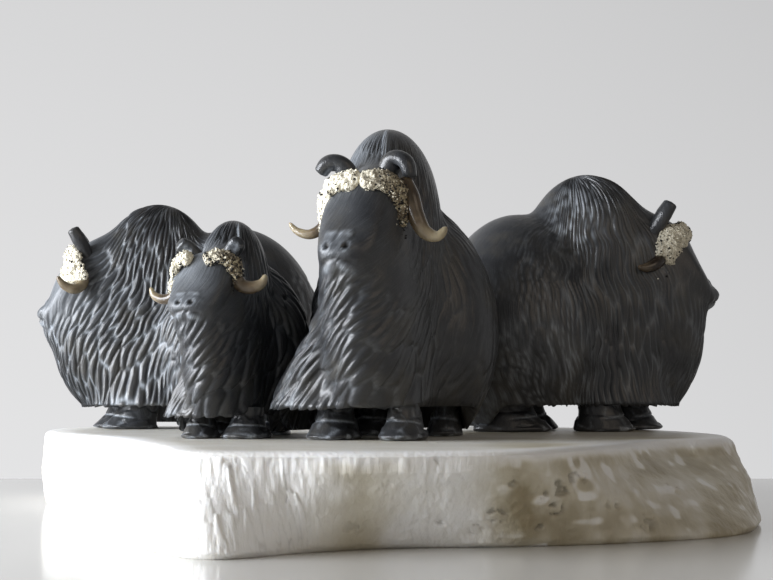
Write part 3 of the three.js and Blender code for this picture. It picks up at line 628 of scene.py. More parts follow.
def carve(ox, cut, aside, down, whole, points, azimuth, fall):
    """Height of the carving in millimetres, how pale the stone is, the lie of the hair and the distance
    to the furrow. With d that distance, a leaf rises as depth times (1 minus e to the minus d over
    the shoulder), and it tilts up towards its lower tip by the shingle's height."""
    spot = points * ox["height"]
    wave = cut["waver"] * np.sin(2 * math.pi * down / WAVE_LONG + 2.6 * noise(spot, 24, 5))
    swept = aside + wave + 1.2 * noise(spot, 14, 3)
    count = 2 * round(whole / cut["lock"] / 2)
    spacing = whole / count
    gap, down_leaf, own = lock_cells(swept / spacing, down / cut["long"] + 0.2 * noise(spot, 20, 7),
                                     count, 17)
    gap = gap * spacing
    strength = lock_strength(ox, cut, azimuth, fall)
    leaf = 1 - np.exp(-gap / cut["shoulder"])
    tilted = cut["shingle"] * np.clip(down_leaf, -0.5, 0.5) * (1 - np.exp(-gap / 0.35))
    strands = noise(np.stack([swept, 0 * down, down], -1), (0.9, 1, 14), 9)
    fine = cut["hair"] * strands * (0.35 + 0.65 * strength)
    height = strength * (cut["depth"] * (leaf - 1) + tilted + 0.16 * own) + fine
    broken = step(noise(spot, (5, 5, 13), 12), -0.8, 0.25)
    line = np.exp(-(gap / LINE_WIDE) ** 2) * broken
    # The side towards the lamp, as a bell over azimuth: pale that follows it is painted light.
    left = bump(azimuth, cut["lit"], cut["lit_wide"]) * step(fall, 0.3, 0.6)
    # Pale lower tips of the locks on the side towards the lamp: painted highlight.
    tip = step(down_leaf, 0.02, 0.34) * step(gap, 0.15, 0.6) * step(own, -0.5, 0.4) * left
    # Furrow lines are pale in full towards the lamp and weaker elsewhere: pale scraped stone, with painted
    # light on the lit side.
    lit_line_share = cut["line_away"] + (1 - cut["line_away"]) * left
    pale = strength * np.maximum(cut["line_pale"] * line * lit_line_share, cut["tip_highlight"] * tip)
    scrape = step(noise(spot, (2.5, 2.5, 3.5), 14), -0.4, 0.5) * (0.25 + 0.75 * strength)
    # Patches of pale scrape marks, all on the side towards the lamp: partly scraped stone, partly painted
    # highlight.
    for patch in patches(azimuth, fall, cut["scraped_and_highlit"]):
        pale = np.maximum(pale, patch * scrape)
    # Plain pale patches on the face and beard planes that face the lamp: painted highlight.
    for patch in patches(azimuth, fall, cut["painted_lighting"]):
        pale = np.maximum(pale, patch)
    if cut["crest"]:
        middle, start, end = cut["crest"]
        ridge = bump(azimuth, middle, 0.05) * step(fall, start, start + 0.03)
        ridge = ridge * (1 - step(fall, end - 0.05, end))
        height = height + CREST_HIGH * ridge
        pale = np.maximum(pale, 0.7 * ridge)
    round_about = 2 * math.pi * swept / whole
    reach = whole / (2 * math.pi)
    lie = np.stack([reach * np.cos(round_about), reach * np.sin(round_about), down], -1)
    return height, pale, lie, gap


# %% [markdown]
# ## Muzzle, nostrils and mouth
# The head is smooth and blunt. Two round nostrils are drilled, a short furrow divides the lip and the mouth
# is one carved line. They are pits in the same grid, placed in the head's own frame, and the nostrils and the
# mouth line are painted near black as the shade inside them.

# %% Face marks
NOSTRIL_SIZE = 0.0085
NOSTRIL_Z = 0.566
PAD_SIZE = (0.07, 0.04)
PAD_Z = 0.568
MOUTH_Z = 0.532
LOBE_Z = 0.512
BROW_Z = 0.603
LIP_SLANT = 0.35


def face_marks(ox, points):
    """Depth in millimetres, the painted shade and how pale each spot of the muzzle is. Nostrils and mouth are
    cut in, and painted dark as the shade in them; the nose pad, its brow, the nostrils' rims and the two lip
    lobes swell out. All are bells over the distance from a middle or a line, only on the front of the muzzle."""
    hx, hy, hz = head_place(ox, points[..., 0], points[..., 1], points[..., 2])
    hy = hy - ox["muzzle_swing"]
    hz = hz + ox["nose_drop"]
    aside = np.abs(hy)
    lip = hz + LIP_SLANT * aside
    front = step(hx, 0.42 + ox["nose"] * 0.5, 0.45 + ox["nose"] * 0.5)
    shade = 0
    pits = 0
    rims = 0
    for sign in SIDE_SIGNS:
        away = np.hypot((hy - sign * ox["nostril"]) / NOSTRIL_SIZE, (hz - NOSTRIL_Z) / NOSTRIL_SIZE)
        rims = np.maximum(rims, bump(away, 1.7, 0.45))
        pits = pits + np.exp(-away ** 4)
        shade = shade + np.exp(-(away / 1.2) ** 6)
    pad = step(-np.hypot(hy / PAD_SIZE[0], (hz - PAD_Z) / PAD_SIZE[1]), -1.1, -0.55)
    mouth = bump(lip, MOUTH_Z, 0.0045) * step(-aside, -0.06, -0.045)
    lobes = bump(aside, 0.026, 0.02) * bump(lip, LOBE_Z, 0.013)
    brow = bump(hz, BROW_Z, 0.011) * step(-aside, -0.05, -0.036) * (1 - 0.8 * bump(hy, 0, 0.004))
    depth = 0.007 * pits + 0.008 * mouth - 0.005 * brow - 0.002 * rims - 0.007 * lobes - 0.004 * pad
    uneven = 0.55 + 0.45 * step(noise(points * ox["height"], (2.2, 2.2, 1.6), 15), -0.4, 0.4)
    pale = np.maximum(np.maximum(0.85 * lobes, 0.26 * pad), np.maximum(0.6 * brow, 0.5 * rims))
    return depth * ox["height"] * front, np.minimum(shade + 0.7 * mouth, 1) * front, pale * front * uneven


# %% [markdown]
# ## Rods: ears, bosses, horns
# An ear, a boss and a horn are each a rod along a smooth line on the head, with a few half widths and
# half depths listed along it. The line passes through its points as a centripetal Catmull-Rom curve,
# which never loops, and the section is turned so that it lies broad against the skull.

# %% Smooth lines
def smooth_line(corners, places, closed=False):
    """Points on a centripetal Catmull-Rom curve at places from 0 to 1. Between two corners the curve
    is the cubic whose end slopes come from the neighbours, weighted by the root of each distance."""
    corners = np.asarray(corners, float)
    count = len(corners)
    spans = count if closed else count - 1
    slot = np.clip(np.asarray(places) * spans, 0, spans - 1e-9)
    first = np.floor(slot).astype(int)
    t = (slot - first)[:, None]
    if closed:
        before, start, end, after = (corners[(first + k) % count] for k in (-1, 0, 1, 2))
    else:
        padded = np.concatenate([[2 * corners[0] - corners[1]], corners, [2 * corners[-1] - corners[-2]]])
        before, start, end, after = (padded[first + k] for k in (0, 1, 2, 3))
    d0, d1, d2 = (np.maximum(np.linalg.norm(b - a, axis=-1, keepdims=True), 1e-9) ** 0.5
                  for a, b in ((before, start), (start, end), (end, after)))
    slope_in = ((start - before) / d0 - (end - before) / (d0 + d1) + (end - start) / d1) * d1
    slope_out = ((end - start) / d1 - (after - start) / (d1 + d2) + (after - end) / d2) * d1
    cubic = 2 * start - 2 * end + slope_in + slope_out
    square = -3 * start + 3 * end - 2 * slope_in - slope_out
    return start + slope_in * t + square * t ** 2 + cubic * t ** 3


def even_line(corners, count):
    """Evenly spaced points along the smooth line: it is measured finely and read back by length."""
    fine = smooth_line(corners, np.linspace(0, 1, 400))
    run = np.concatenate([[0], np.cumsum(np.linalg.norm(np.diff(fine, axis=0), axis=-1))])
    wanted = np.linspace(0, run[-1], count)
    return np.stack([np.interp(wanted, run, fine[:, k]) for k in range(3)], -1)


def on_head(ox, points):
    """Points of the head's own frame in the body's frame: widened, shifted, turned about the neck."""
    points = np.asarray(points, float)
    turn = math.radians(ox["head_turn"])
    aside = points[..., 1] * ox["head_wide"] + ox["head_shift"]
    forward = points[..., 0] - NECK_X
    return np.stack([
        NECK_X + forward * math.cos(turn) - aside * math.sin(turn),
        forward * math.sin(turn) + aside * math.cos(turn),
        points[..., 2] - ox["head_drop"],
    ], -1)


def rod(ox, corners, widths, depths, lengths, sides, shape=None):
    """Rings round a smooth line, in fractions of the ox's height: half width times cosine across the
    skull plus half depth times sine away from it. A shape function may scale each ring point."""
    line = even_line(corners, lengths)
    ahead = unit(np.gradient(line, axis=0))
    skull = on_head(ox, SKULL)
    across = unit(np.cross(line - skull, ahead))
    away = np.cross(ahead, across)
    place = np.linspace(0, 1, lengths)[:, None]
    angle = 2 * math.pi * np.arange(sides)[None, :] / sides
    listed = np.linspace(0, 1, len(widths))
    wide = np.interp(place, listed, widths)
    deep = np.interp(place, listed, depths)
    ends = np.sqrt(np.clip(1 - (np.abs(2 * place - 1) - ROD_ROUND) ** 2 / (1 - ROD_ROUND) ** 2, 0, 1))
    round_off = np.where(np.abs(2 * place - 1) > ROD_ROUND, ends, 1)
    size = round_off * (1 if shape is None else shape(place, angle))
    rings = (line[:, None] + across[:, None] * (np.cos(angle) * wide * size)[..., None]
             + away[:, None] * (np.sin(angle) * deep * size)[..., None])
    return line, rings, place + 0 * angle, angle + 0 * place


# %% Lines of the ears, bosses and horns
SKULL = (0.28, 0, 0.7)
ROD_ROUND = 0.86
EAR_LINES = {
    "side": ((0.25, 0.06, 0.8), (0.26, 0.1, 0.852), (0.265, 0.135, 0.852), (0.265, 0.16, 0.822)),
    "hood": ((0.25, 0.04, 0.8), (0.262, 0.078, 0.86), (0.27, 0.112, 0.848), (0.275, 0.13, 0.795)),
    "front": ((0.25, 0.05, 0.79), (0.265, 0.078, 0.832), (0.282, 0.096, 0.852), (0.3, 0.106, 0.862)),
    "up": ((0.25, 0.06, 0.76), (0.28, 0.09, 0.815), (0.305, 0.105, 0.86), (0.325, 0.11, 0.893)),
    "low": ((0.23, 0.05, 0.73), (0.25, 0.08, 0.785), (0.265, 0.1, 0.825), (0.275, 0.11, 0.85)),
}
EAR_WIDTHS = (0.03, 0.031, 0.032, 0.026)
EAR_DEPTHS = (0.026, 0.027, 0.027, 0.021)
BOSS_LINES = {
    "out": ((0.38, 0, 0.772), (0.366, 0.05, 0.788), (0.335, 0.096, 0.768), (0.318, 0.11, 0.71),
            (0.318, 0.113, 0.645)),
    "apart": ((0.38, 0, 0.772), (0.366, 0.05, 0.788), (0.345, 0.1, 0.768), (0.338, 0.117, 0.705),
              (0.34, 0.121, 0.625)),
    "high": ((0.38, 0.012, 0.772), (0.366, 0.052, 0.795), (0.335, 0.094, 0.775),
             (0.318, 0.106, 0.72), (0.318, 0.108, 0.66)),
    "strip": ((0.385, 0.034, 0.775), (0.38, 0.062, 0.785), (0.368, 0.086, 0.765),
              (0.37, 0.094, 0.705), (0.376, 0.096, 0.635)),
    "forward": ((0.38, 0.018, 0.785), (0.376, 0.062, 0.79), (0.368, 0.098, 0.757),
                (0.365, 0.112, 0.71), (0.362, 0.116, 0.65)),
    "back": ((0.38, 0.018, 0.78), (0.362, 0.062, 0.785), (0.318, 0.098, 0.758), (0.288, 0.112, 0.705),
             (0.266, 0.118, 0.65)),
}
BOSS_WIDTHS = {
    "out": (0.036, 0.04, 0.044, 0.03, 0.02), "apart": (0.036, 0.042, 0.044, 0.03, 0.022),
    "high": (0.034, 0.038, 0.044, 0.036, 0.026), "strip": (0.03, 0.036, 0.038, 0.034, 0.028),
    "forward": (0.026, 0.032, 0.046, 0.068, 0.082), "back": (0.034, 0.044, 0.054, 0.052, 0.036),
}
BOSS_DEPTHS = (0.02, 0.023, 0.024, 0.022, 0.018)
HORN_LINES = {
    "out": ((0.308, 0.12, 0.7), (0.308, 0.138, 0.64), (0.308, 0.178, 0.617), (0.305, 0.222, 0.628),
            (0.305, 0.249, 0.655)),
    "beside": ((0.275, 0.105, 0.8), (0.288, 0.133, 0.745), (0.298, 0.155, 0.68),
               (0.305, 0.185, 0.63), (0.305, 0.224, 0.617), (0.305, 0.252, 0.645)),
    "high": ((0.316, 0.105, 0.665), (0.312, 0.122, 0.632), (0.308, 0.155, 0.622), (0.305, 0.19, 0.64),
             (0.305, 0.205, 0.678)),
    "forward": ((0.316, 0.118, 0.68), (0.325, 0.14, 0.64), (0.355, 0.165, 0.622),
                (0.395, 0.178, 0.637), (0.425, 0.182, 0.675)),
    "back": ((0.26, 0.112, 0.67), (0.232, 0.135, 0.65), (0.205, 0.148, 0.637), (0.18, 0.158, 0.632),
             (0.156, 0.166, 0.636)),
}
HORN_RADII = (0.024, 0.025, 0.023, 0.018, 0.008)


def head_line(ox, pick, line, forward=0, lift=0):
    """A line of the head mirrored to one side, moved forward and lifted, in the body's frame."""
    return on_head(ox, np.array(line) * (1, SIDE_SIGNS[pick], 1) + (forward, 0, lift))


# %% [markdown]
# ## Legs
# The legs are short and end in broad bell-shaped hooves. A leg is a stack of ovals, with a worn lip round the
# hoof, chisel facets and an arched cuff line.

# %% Legs
LEG_FOOT = (0.107, 0.078)
LEG_SHANK = (0.064, 0.044)
LEG_BELL = 0.1
LEG_LIP = 0.012
LEG_ROOT = 0.04
LEG_SIDES = 72
LEG_STEPS = 44
FACET_COUNT = 10
FACET_TALL = 7.5
CUFF_Z = 0.047
CUFF_ARCH = 0.012
CUFF_WIDE = 0.0035
CUFF_DEEP = 0.7


def ox_shell(ox, first, rings, last, **values):
    """A shell whose points are given in an ox's own frame, in fractions of its height."""
    return shell(placed(ox, first), placed(ox, rings), placed(ox, last), **values)


def leg_shell(ox, place, seed):
    """A leg from the slab up into the coat: height times a list of ovals, eased between by S curves.
    Chisel facets cover it, each set a little in or out, and an arched cuff line parts hoof from leg."""
    middle_x, middle_y, longer, wider = place
    z = np.linspace(0, HEM + LEG_ROOT, LEG_STEPS)[:, None]
    angle = 2 * math.pi * np.arange(LEG_SIDES)[None, :] / LEG_SIDES
    flare = np.clip(1 - z / LEG_BELL, 0, 1) ** 1.5
    flare = np.where(z < LEG_LIP, flare - 0.25 * (1 - z / LEG_LIP) ** 2 + 0.1 * z / LEG_LIP, flare + 0.1)
    long, wide = (LEG_SHANK[k] + (LEG_FOOT[k] - LEG_SHANK[k]) * flare for k in (0, 1))
    x = middle_x + ox["toe"] * flare + long * np.cos(angle) * longer
    y = middle_y + wide * np.sin(angle) * wider
    rings = np.stack([x, y, z + 0 * angle], -1)
    spot = rings * ox["height"]
    turned = angle / (2 * math.pi) * FACET_COUNT + 0.25 * noise(spot, 6, seed)
    gap, tilt, own = lock_cells(turned + 0 * z, z * ox["height"] / FACET_TALL + 0 * turned, FACET_COUNT, seed)
    facets = 0.55 * own * step(gap, 0, 0.16) + 0.9 * tilt - 0.35 * np.exp(-(gap / 0.09) ** 2)
    arch = CUFF_Z + CUFF_ARCH * np.cos(angle) + 0.004 * noise(spot, 5, seed + 2)
    cuff = bump(z, arch, CUFF_WIDE) * step(np.cos(angle), -0.3, 0.5)
    out = unit(np.stack([x - middle_x, y - middle_y, 0 * x], -1))
    rings = rings + out * ((facets - CUFF_DEEP * cuff) * step(z, 0, LEG_LIP) / ox["height"])[..., None]
    # Pale spots on the toe near the sole: chipped stone, painted pale as a glint, which is painted highlight.
    chips = step(noise(spot, (3, 3, 2), seed + 4), 0.1, 0.6) * (1 - step(z, 0.012, 0.03))
    edges = np.exp(-(gap / 0.1) ** 2) * step(noise(spot, 4, seed + 5), -0.2, 0.5)
    # The chips are pale only on the front of the leg, as a painted glint.
    pale = np.maximum(0.55 * cuff, np.maximum(0.7 * chips * step(np.cos(angle), 0, 0.6), 0.3 * edges))
    sole = np.array([middle_x, middle_y, 0.0])
    root = np.array([middle_x, middle_y, HEM + LEG_ROOT])
    return ox_shell(ox, sole, rings, root, pale=pale, dark=0 * pale, lie=spot * (1, 1, 3))


# %% [markdown]
# ## The whole skin of an ox
# Coat, legs and ears are one stone, so they are one piece. The hem ends in the pointed tips of the
# locks and turns under to a flat belly.

# %% Skin of each ox
HEM_POINT = 0.012
HEM_NOTCH = 0.004
EAR_CUP = 0.42
EAR_STEPS = 40
EAR_SIDES = 40


def ear_shape(place, angle):
    """A finger with a scooped cup along its front, deepest near the tip."""
    return 1 - EAR_CUP * bump(angle, 1.5 * math.pi, 0.8) * step(place, 0.35, 0.6)


def coat_shell(ox, cut, columns, rows):
    """The carved coat as one closed shell, with how pale each point is, partly painted highlight, and the
    painted shade of the nostrils and mouth.
    """
    azimuth, fall, hem_reach, points = smooth_coat(ox, columns, rows)
    size = ox["height"]
    aside, down, whole = run_lengths(points * size)
    height, pale, lie, gap = carve(ox, cut, aside, down, whole, points, azimuth, fall)
    marks, dark, lips = face_marks(ox, points)
    pale = np.maximum(pale, lips)
    points = points + grid_normals(points) * ((height - marks) / size)[..., None]
    hem = hem_height(ox, turned_in(azimuth[-1]))
    points[-1, :, 2] = hem + (HEM_NOTCH - HEM_POINT * step(gap[-1], 0.2, 1.4)) * step(hem, 0.05, HEM)
    belly = np.array([CORE_X, 0, HEM])
    under = belly + level_way(azimuth[-1]) * (hem_reach[-1] * HEM_TURN)[:, None]
    pale, dark = (np.concatenate([values, 0 * values[-1:]]) for values in (pale, dark))
    return ox_shell(ox, points[0].mean(axis=0), np.concatenate([points, under[None]]), belly, pale=pale,
                    dark=dark, lie=np.concatenate([lie, lie[-1:] + (0, 0, 2)]))


def ear_shell(ox, pick):
    """One ear as a closed shell."""
    corners = head_line(ox, pick, EAR_LINES[ox["ears"][pick]], forward=ox["ear_shift"])
    widths, depths = (np.array(sizes) * ox["ear_thick"] for sizes in (EAR_WIDTHS, EAR_DEPTHS))
    line, rings, place, angle = rod(ox, corners, widths, depths, EAR_STEPS, EAR_SIDES, ear_shape)
    pale = 0.25 * bump(angle, 1.5 * math.pi, 0.9) * step(place, 0.35, 0.6)
    return ox_shell(ox, line[0], rings, line[-1], pale=pale, dark=0 * pale, lie=rings * ox["height"])


# %% [markdown]
# ## Polished serpentine
# The dark stone is a soft serpentine, cut, wet-sanded and waxed. Polished it is nearly black with faint
# clouds and a few mineral specks, and has a soft gloss. Scraped furrows are pale grey and rough, because the
# crushed surface scatters light. The same pale grey is also painted on as highlight on the side of each ox
# towards the lamp, and the nostrils and mouth are painted near black as shade.

# %% Stone material
STONE_CLOUDS = 20
STONE_SPECKS = 0.6
STONE_GRAIN = 1.1
STONE_STRANDS = 0.75


def stone_material():
    """Serpentine: clouds 20 mm across, specks 0.6 mm across, strands 0.75 mm apart that follow the lie of the
    hair, a pale, rough skin where the gouge scraped and where highlight is painted on the side towards the
    lamp, and near black painted shade in the nostrils and mouth. The lie is already in millimetres."""
    material, tree, shader = new_material("polished_serpentine")
    where = add_node(tree, "ShaderNodeTexCoord", {}, "Object")
    lie, pale, dark = (add_node(tree, "ShaderNodeAttribute", {}, output, attribute_name=name)
                       for name, output in (("lie", "Vector"), ("pale", "Fac"), ("dark", "Fac")))
    clouds = add_node(tree, "ShaderNodeTexNoise", {"Vector": where, "Scale": 1 / (STONE_CLOUDS * MM),
                      "Detail": 6, "Roughness": 0.6}, "Fac")
    body = add_node(tree, "ShaderNodeValToRGB", {"Fac": clouds}, "Color",
                    stops=((0.3, "#242528"), (0.5, "#333436"), (0.7, "#42403c")))
    combed = add_node(tree, "ShaderNodeMapping", {"Vector": lie, "Scale": (1, 1, 0.07)}, "Vector")
    strands = add_node(tree, "ShaderNodeTexNoise", {"Vector": combed, "Scale": 1 / STONE_STRANDS,
                       "Detail": 3, "Roughness": 0.6}, "Fac")
    hairs = add_node(tree, "ShaderNodeValToRGB", {"Fac": strands}, "Color",
                     stops=((0.55, "#000000"), (0.75, "#34373a")))
    with_hairs = add_node(tree, "ShaderNodeMix", {"Factor": 0.55, "A": body, "B": hairs}, "Result",
                          data_type="RGBA", blend_type="ADD")
    flecks = add_node(tree, "ShaderNodeTexNoise", {"Vector": where, "Scale": 1 / (STONE_SPECKS * MM),
                      "Detail": 2}, "Fac")
    specks = add_node(tree, "ShaderNodeValToRGB", {"Fac": flecks}, "Color",
                      stops=((0.62, "#000000"), (0.8, "#60605a")))
    polished = add_node(tree, "ShaderNodeMix", {"Factor": 0.3, "A": with_hairs, "B": specks}, "Result",
                        data_type="RGBA", blend_type="ADD")
    uneven = add_node(tree, "ShaderNodeMapRange", {"Value": strands, "From Min": 0.35, "From Max": 0.6,
                      "To Min": 0.45, "To Max": 1.15}, "Result")
    amount = add_node(tree, "ShaderNodeMath", {0: pale, 1: uneven}, "Value", operation="MULTIPLY",
                      use_clamp=True)
    # Pale grey for the scraped stone, and as painted highlight for the lit tips, lines and patches.
    scraped_and_highlit = add_node(tree, "ShaderNodeMix", {"Factor": amount, "A": polished, "B": linear("#aeb5bc")},
                       "Result", data_type="RGBA")
    # Near black in the nostrils and along the mouth: painted shade in these pits.
    colour = add_node(tree, "ShaderNodeMix", {"Factor": dark, "A": scraped_and_highlit, "B": linear("#0b0b0b")},
                      "Result", data_type="RGBA")
    rough = add_node(tree, "ShaderNodeMapRange", {"Value": amount, "To Min": 0.3, "To Max": 0.55}, "Result")
    combing = add_node(tree, "ShaderNodeBump", {"Height": strands, "Strength": 0.4,
                       "Distance": 0.5 * MM}, "Normal")
    grain = add_node(tree, "ShaderNodeTexNoise", {"Vector": where, "Scale": 1 / (STONE_GRAIN * MM),
                     "Detail": 3}, "Fac")
    tooth = add_node(tree, "ShaderNodeBump", {"Height": grain, "Strength": 0.3, "Distance": 0.3 * MM,
                     "Normal": combing}, "Normal")
    plug(tree, shader, {"Base Color": colour, "Roughness": rough, "Normal": tooth})
    return material


STONE = stone_material()

# %% Make the four skins
SKIN_GRIDS = {"lead": (500, 176), "young": (440, 170), "leftward": (500, 176), "rightward": (500, 176)}
LEAD_PARTS = ["head", "shoulders", "hindquarters", "leg_front_left", "leg_front_right",
              "leg_hind_left", "leg_hind_right", "ear_left", "ear_right"]


def make_skin(name, ox):
    """Coat, four legs and two ears in one mesh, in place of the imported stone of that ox."""
    shells = [coat_shell(ox, CARVING[name], *SKIN_GRIDS[name])]
    shells += [leg_shell(ox, place, 40 + index) for index, place in enumerate(ox["legs"])]
    shells += [ear_shell(ox, pick) for pick in (0, 1)]
    nodes = [f"lead_{part}" for part in LEAD_PARTS] if name == "lead" else [f"{name}_body"]
    make_piece(f"{name}_skin", shells, STONE, nodes)


for name, ox in HERD.items():
    make_skin(name, ox)

# %% [markdown]
# ## Bosses and horns
# The boss over the forehead is a paste of crushed horn and glue: cream, lumpy, with black grains in it. Some
# bosses are browner, and for the lead and the young ox the boss away from the lamp is painted brown to near
# black, partly its own tone and partly painted shade. The horn itself is real horn, shaved and polished until
# it looks like amber.


# %% Paste and horn materials
PASTE_LUMPS = 2.6
PASTE_FLECKS = 1
PASTE_PEBBLES = 1.2
HORN_STREAKS = 5


def paste_material():
    """Bonded horn dust: cream lumps 2.6 mm across with brownish hollows, pebbles 1.2 mm across, black flecks,
    and loose grains that are black or cream. Where the attribute says, it turns brown with more black flecks,
    partly the paste's own tone and partly painted shade."""
    material, tree, shader = new_material("bonded_horn_paste")
    where = add_node(tree, "ShaderNodeTexCoord", {}, "Object")
    tan_and_shade_share, black = (add_node(tree, "ShaderNodeAttribute", {}, "Fac", attribute_name=name)
                     for name in ("tan", "black"))
    lumps = add_node(tree, "ShaderNodeTexNoise", {"Vector": where, "Scale": 1 / (PASTE_LUMPS * MM),
                     "Detail": 6, "Roughness": 0.65}, "Fac")
    cream = add_node(tree, "ShaderNodeValToRGB", {"Fac": lumps}, "Color",
                     stops=((0.26, "#8d8166"), (0.36, "#d0c8b0"), (0.5, "#ede7d3")))
    tan = add_node(tree, "ShaderNodeValToRGB", {"Fac": lumps}, "Color",
                   stops=((0.34, "#2e251a"), (0.5, "#7d6d52"), (0.64, "#c2b797")))
    body = add_node(tree, "ShaderNodeMix", {"Factor": tan_and_shade_share, "A": cream, "B": tan}, "Result",
                    data_type="RGBA")
    flecks = add_node(tree, "ShaderNodeTexNoise", {"Vector": where, "Scale": 1 / (PASTE_FLECKS * MM),
                      "Detail": 2}, "Fac")
    level = add_node(tree, "ShaderNodeMath", {0: tan_and_shade_share, 1: 0.13, 2: flecks}, "Value",
                     operation="MULTIPLY_ADD")
    mask = add_node(tree, "ShaderNodeMapRange", {"Value": level, "From Min": 0.66, "From Max": 0.71},
                    "Result")
    flecked = add_node(tree, "ShaderNodeMix", {"Factor": mask, "A": body, "B": linear("#191613")},
                       "Result", data_type="RGBA")
    colour = add_node(tree, "ShaderNodeMix", {"Factor": black, "A": flecked, "B": linear("#121110")},
                      "Result", data_type="RGBA")
    pebbles = add_node(tree, "ShaderNodeTexVoronoi", {"Vector": where, "Scale": 1 / (PASTE_PEBBLES * MM)},
                       "Distance")
    tooth = add_node(tree, "ShaderNodeBump", {"Height": pebbles, "Strength": 0.9, "Distance": 0.6 * MM},
                     "Normal", invert=True)
    plug(tree, shader, {"Base Color": colour, "Roughness": 0.66, "Normal": tooth})
    return material


def horn_material():
    """Polished horn: translucent, with streaks 5 mm across, and its own tint from root to tip."""
    material, tree, shader = new_material("polished_horn")
    where = add_node(tree, "ShaderNodeTexCoord", {}, "Object")
    tint = add_node(tree, "ShaderNodeAttribute", {}, "Fac", attribute_name="tint")
    streaks = add_node(tree, "ShaderNodeTexNoise", {"Vector": where, "Scale": 1 / (HORN_STREAKS * MM),
                       "Detail": 4}, "Fac")
    level = add_node(tree, "ShaderNodeMath", {0: streaks, 1: 0.4, 2: tint}, "Value",
                     operation="MULTIPLY_ADD")
    colour = add_node(tree, "ShaderNodeValToRGB", {"Fac": level}, "Color",
                      stops=((0.2, "#2b2117"), (0.5, "#5e5140"), (0.75, "#8d8068"), (0.95, "#b9ad8f"),
                             (1.0, "#d8cdb0")))
    plug(tree, shader, {"Base Color": colour, "Roughness": 0.18, "Subsurface Weight": 0.2,
                        "Subsurface Radius": (0.6, 0.4, 0.2), "Subsurface Scale": 3 * MM})
    return material


PASTE = paste_material()
HORN = horn_material()

# %% Grains
GRAIN_CORNERS = np.array([(1, 0, 0), (-1, 0, 0), (0, 1, 0), (0, -1, 0), (0, 0, 1), (0, 0, -1)], float)
GRAIN_FACES = np.array([(0, 2, 4), (2, 1, 4), (1, 3, 4), (3, 0, 4),
                        (2, 0, 5), (1, 2, 5), (3, 1, 5), (0, 3, 5)])


def grains(middles, sizes, draw, **values):
    """Loose crystals of horn, all in one mesh: at each middle an octahedron whose six corners lie at
    its size times a chance length, nudged sideways by chance."""
    count = len(middles)
    lengths = draw.uniform(0.6, 1.25, (count, 6, 1))
    nudges = draw.uniform(-0.3, 0.3, (count, 6, 3))
    corners = middles[:, None] + (GRAIN_CORNERS * lengths + nudges) * sizes[:, None, None]
    faces = GRAIN_FACES[None] + 6 * np.arange(count)[:, None, None]
    full = {name: np.repeat(value, 6) for name, value in values.items()}
    return dict(points=corners.reshape(-1, 3), squares=np.zeros((0, 4), int), caps=faces.reshape(-1, 3),
                values=full)


# %% Make the bosses and horns
BOSS_STEPS = 120
BOSS_SIDES = 64
HORN_STEPS = 70
HORN_SIDES = 36
GRAINS_ON = 420
GRAINS_OFF = 110
STREWN_WIDE = 0.016
BARE_ROWS = 4
BOSS_LUMPS = ((0.85, 4, 31), (0.75, 1.8, 32), (0.5, 1, 33))
# How brown each boss is, left then right: the paste's own tone, and for the lead and the young ox also
# painted shade on the boss away from the lamp.
PASTE_TAN_AND_SHADE = {"lead": (0.95, 0.1), "young": (0.95, 0.2), "leftward": (0.12, 0.12), "rightward": (0.32, 0.32)}
HORN_TINT = {"lead": (0.2, 0.64), "young": (0.2, 0.58), "leftward": (0.52, 0.36), "rightward": (0, 0.22)}


def layered(points, layers, folded=False):
    """The sum of several noises, each given by its amount, size and seed, and made positive if folded."""
    noises = [(amount, noise(points, size, seed)) for amount, size, seed in layers]
    return sum(amount * (np.abs(value) if folded else value) for amount, value in noises)


def on_skin(ox, points):
    """Points moved along the line from the skull's middle until they lie on the smooth skin."""
    skull = on_head(ox, SKULL)
    way = unit(points - skull)
    return skull + way * reach_along(ox, skull, way)[..., None]


def make_boss(name, ox, pick):
    """A crumbly band: the rod's rings pushed out and in by noise 4, 1.8 and 1 mm across, with loose
    grains stuck on it and strewn over the stone beside it."""
    held = ox["bosses"][pick]
    corners = head_line(ox, pick, BOSS_LINES[held])
    line, rings, place, angle = rod(ox, corners, BOSS_WIDTHS[held], BOSS_DEPTHS, BOSS_STEPS, BOSS_SIDES)
    size = ox["height"]
    lumps = layered(rings * size, BOSS_LUMPS)
    rings = rings + unit(rings - line[:, None]) * (lumps / size)[..., None]
    # Browner towards the lower end of the boss: its tone, with painted shade.
    tan = PASTE_TAN_AND_SHADE[name][pick] * (0.35 + 0.65 * step(place, 0.05, 0.5)) + 0 * place
    boss = ox_shell(ox, line[0], rings, line[-1], tan=tan, black=0 * tan)
    draw = np.random.default_rng(200 + 10 * list(HERD).index(name) + pick)
    row = draw.integers(BARE_ROWS, BOSS_STEPS - BARE_ROWS, GRAINS_ON)
    column = draw.integers(0, BOSS_SIDES, GRAINS_ON)
    stuck = rings[row, column]
    beside = line[draw.integers(BOSS_STEPS // 3, BOSS_STEPS, GRAINS_OFF)]
    beside = beside + draw.normal(0, STREWN_WIDE, (GRAINS_OFF, 3))
    middles = np.concatenate([stuck, on_skin(ox, beside)])
    sizes = 0.28 + 0.75 * draw.uniform(0, 1, len(middles)) ** 2.5
    # More black grains where the boss is browner, so more on the painted shaded boss.
    black = (draw.uniform(0, 1, len(middles)) < 0.14 + 0.55 * PASTE_TAN_AND_SHADE[name][pick]).astype(float)
    loose = grains(placed(ox, middles), sizes, draw, tan=0 * black, black=black)
    side = SIDE_NAMES[pick]
    make_piece(f"{name}_paste_{side}", [boss, loose], PASTE, [f"{name}_boss_{side}"])


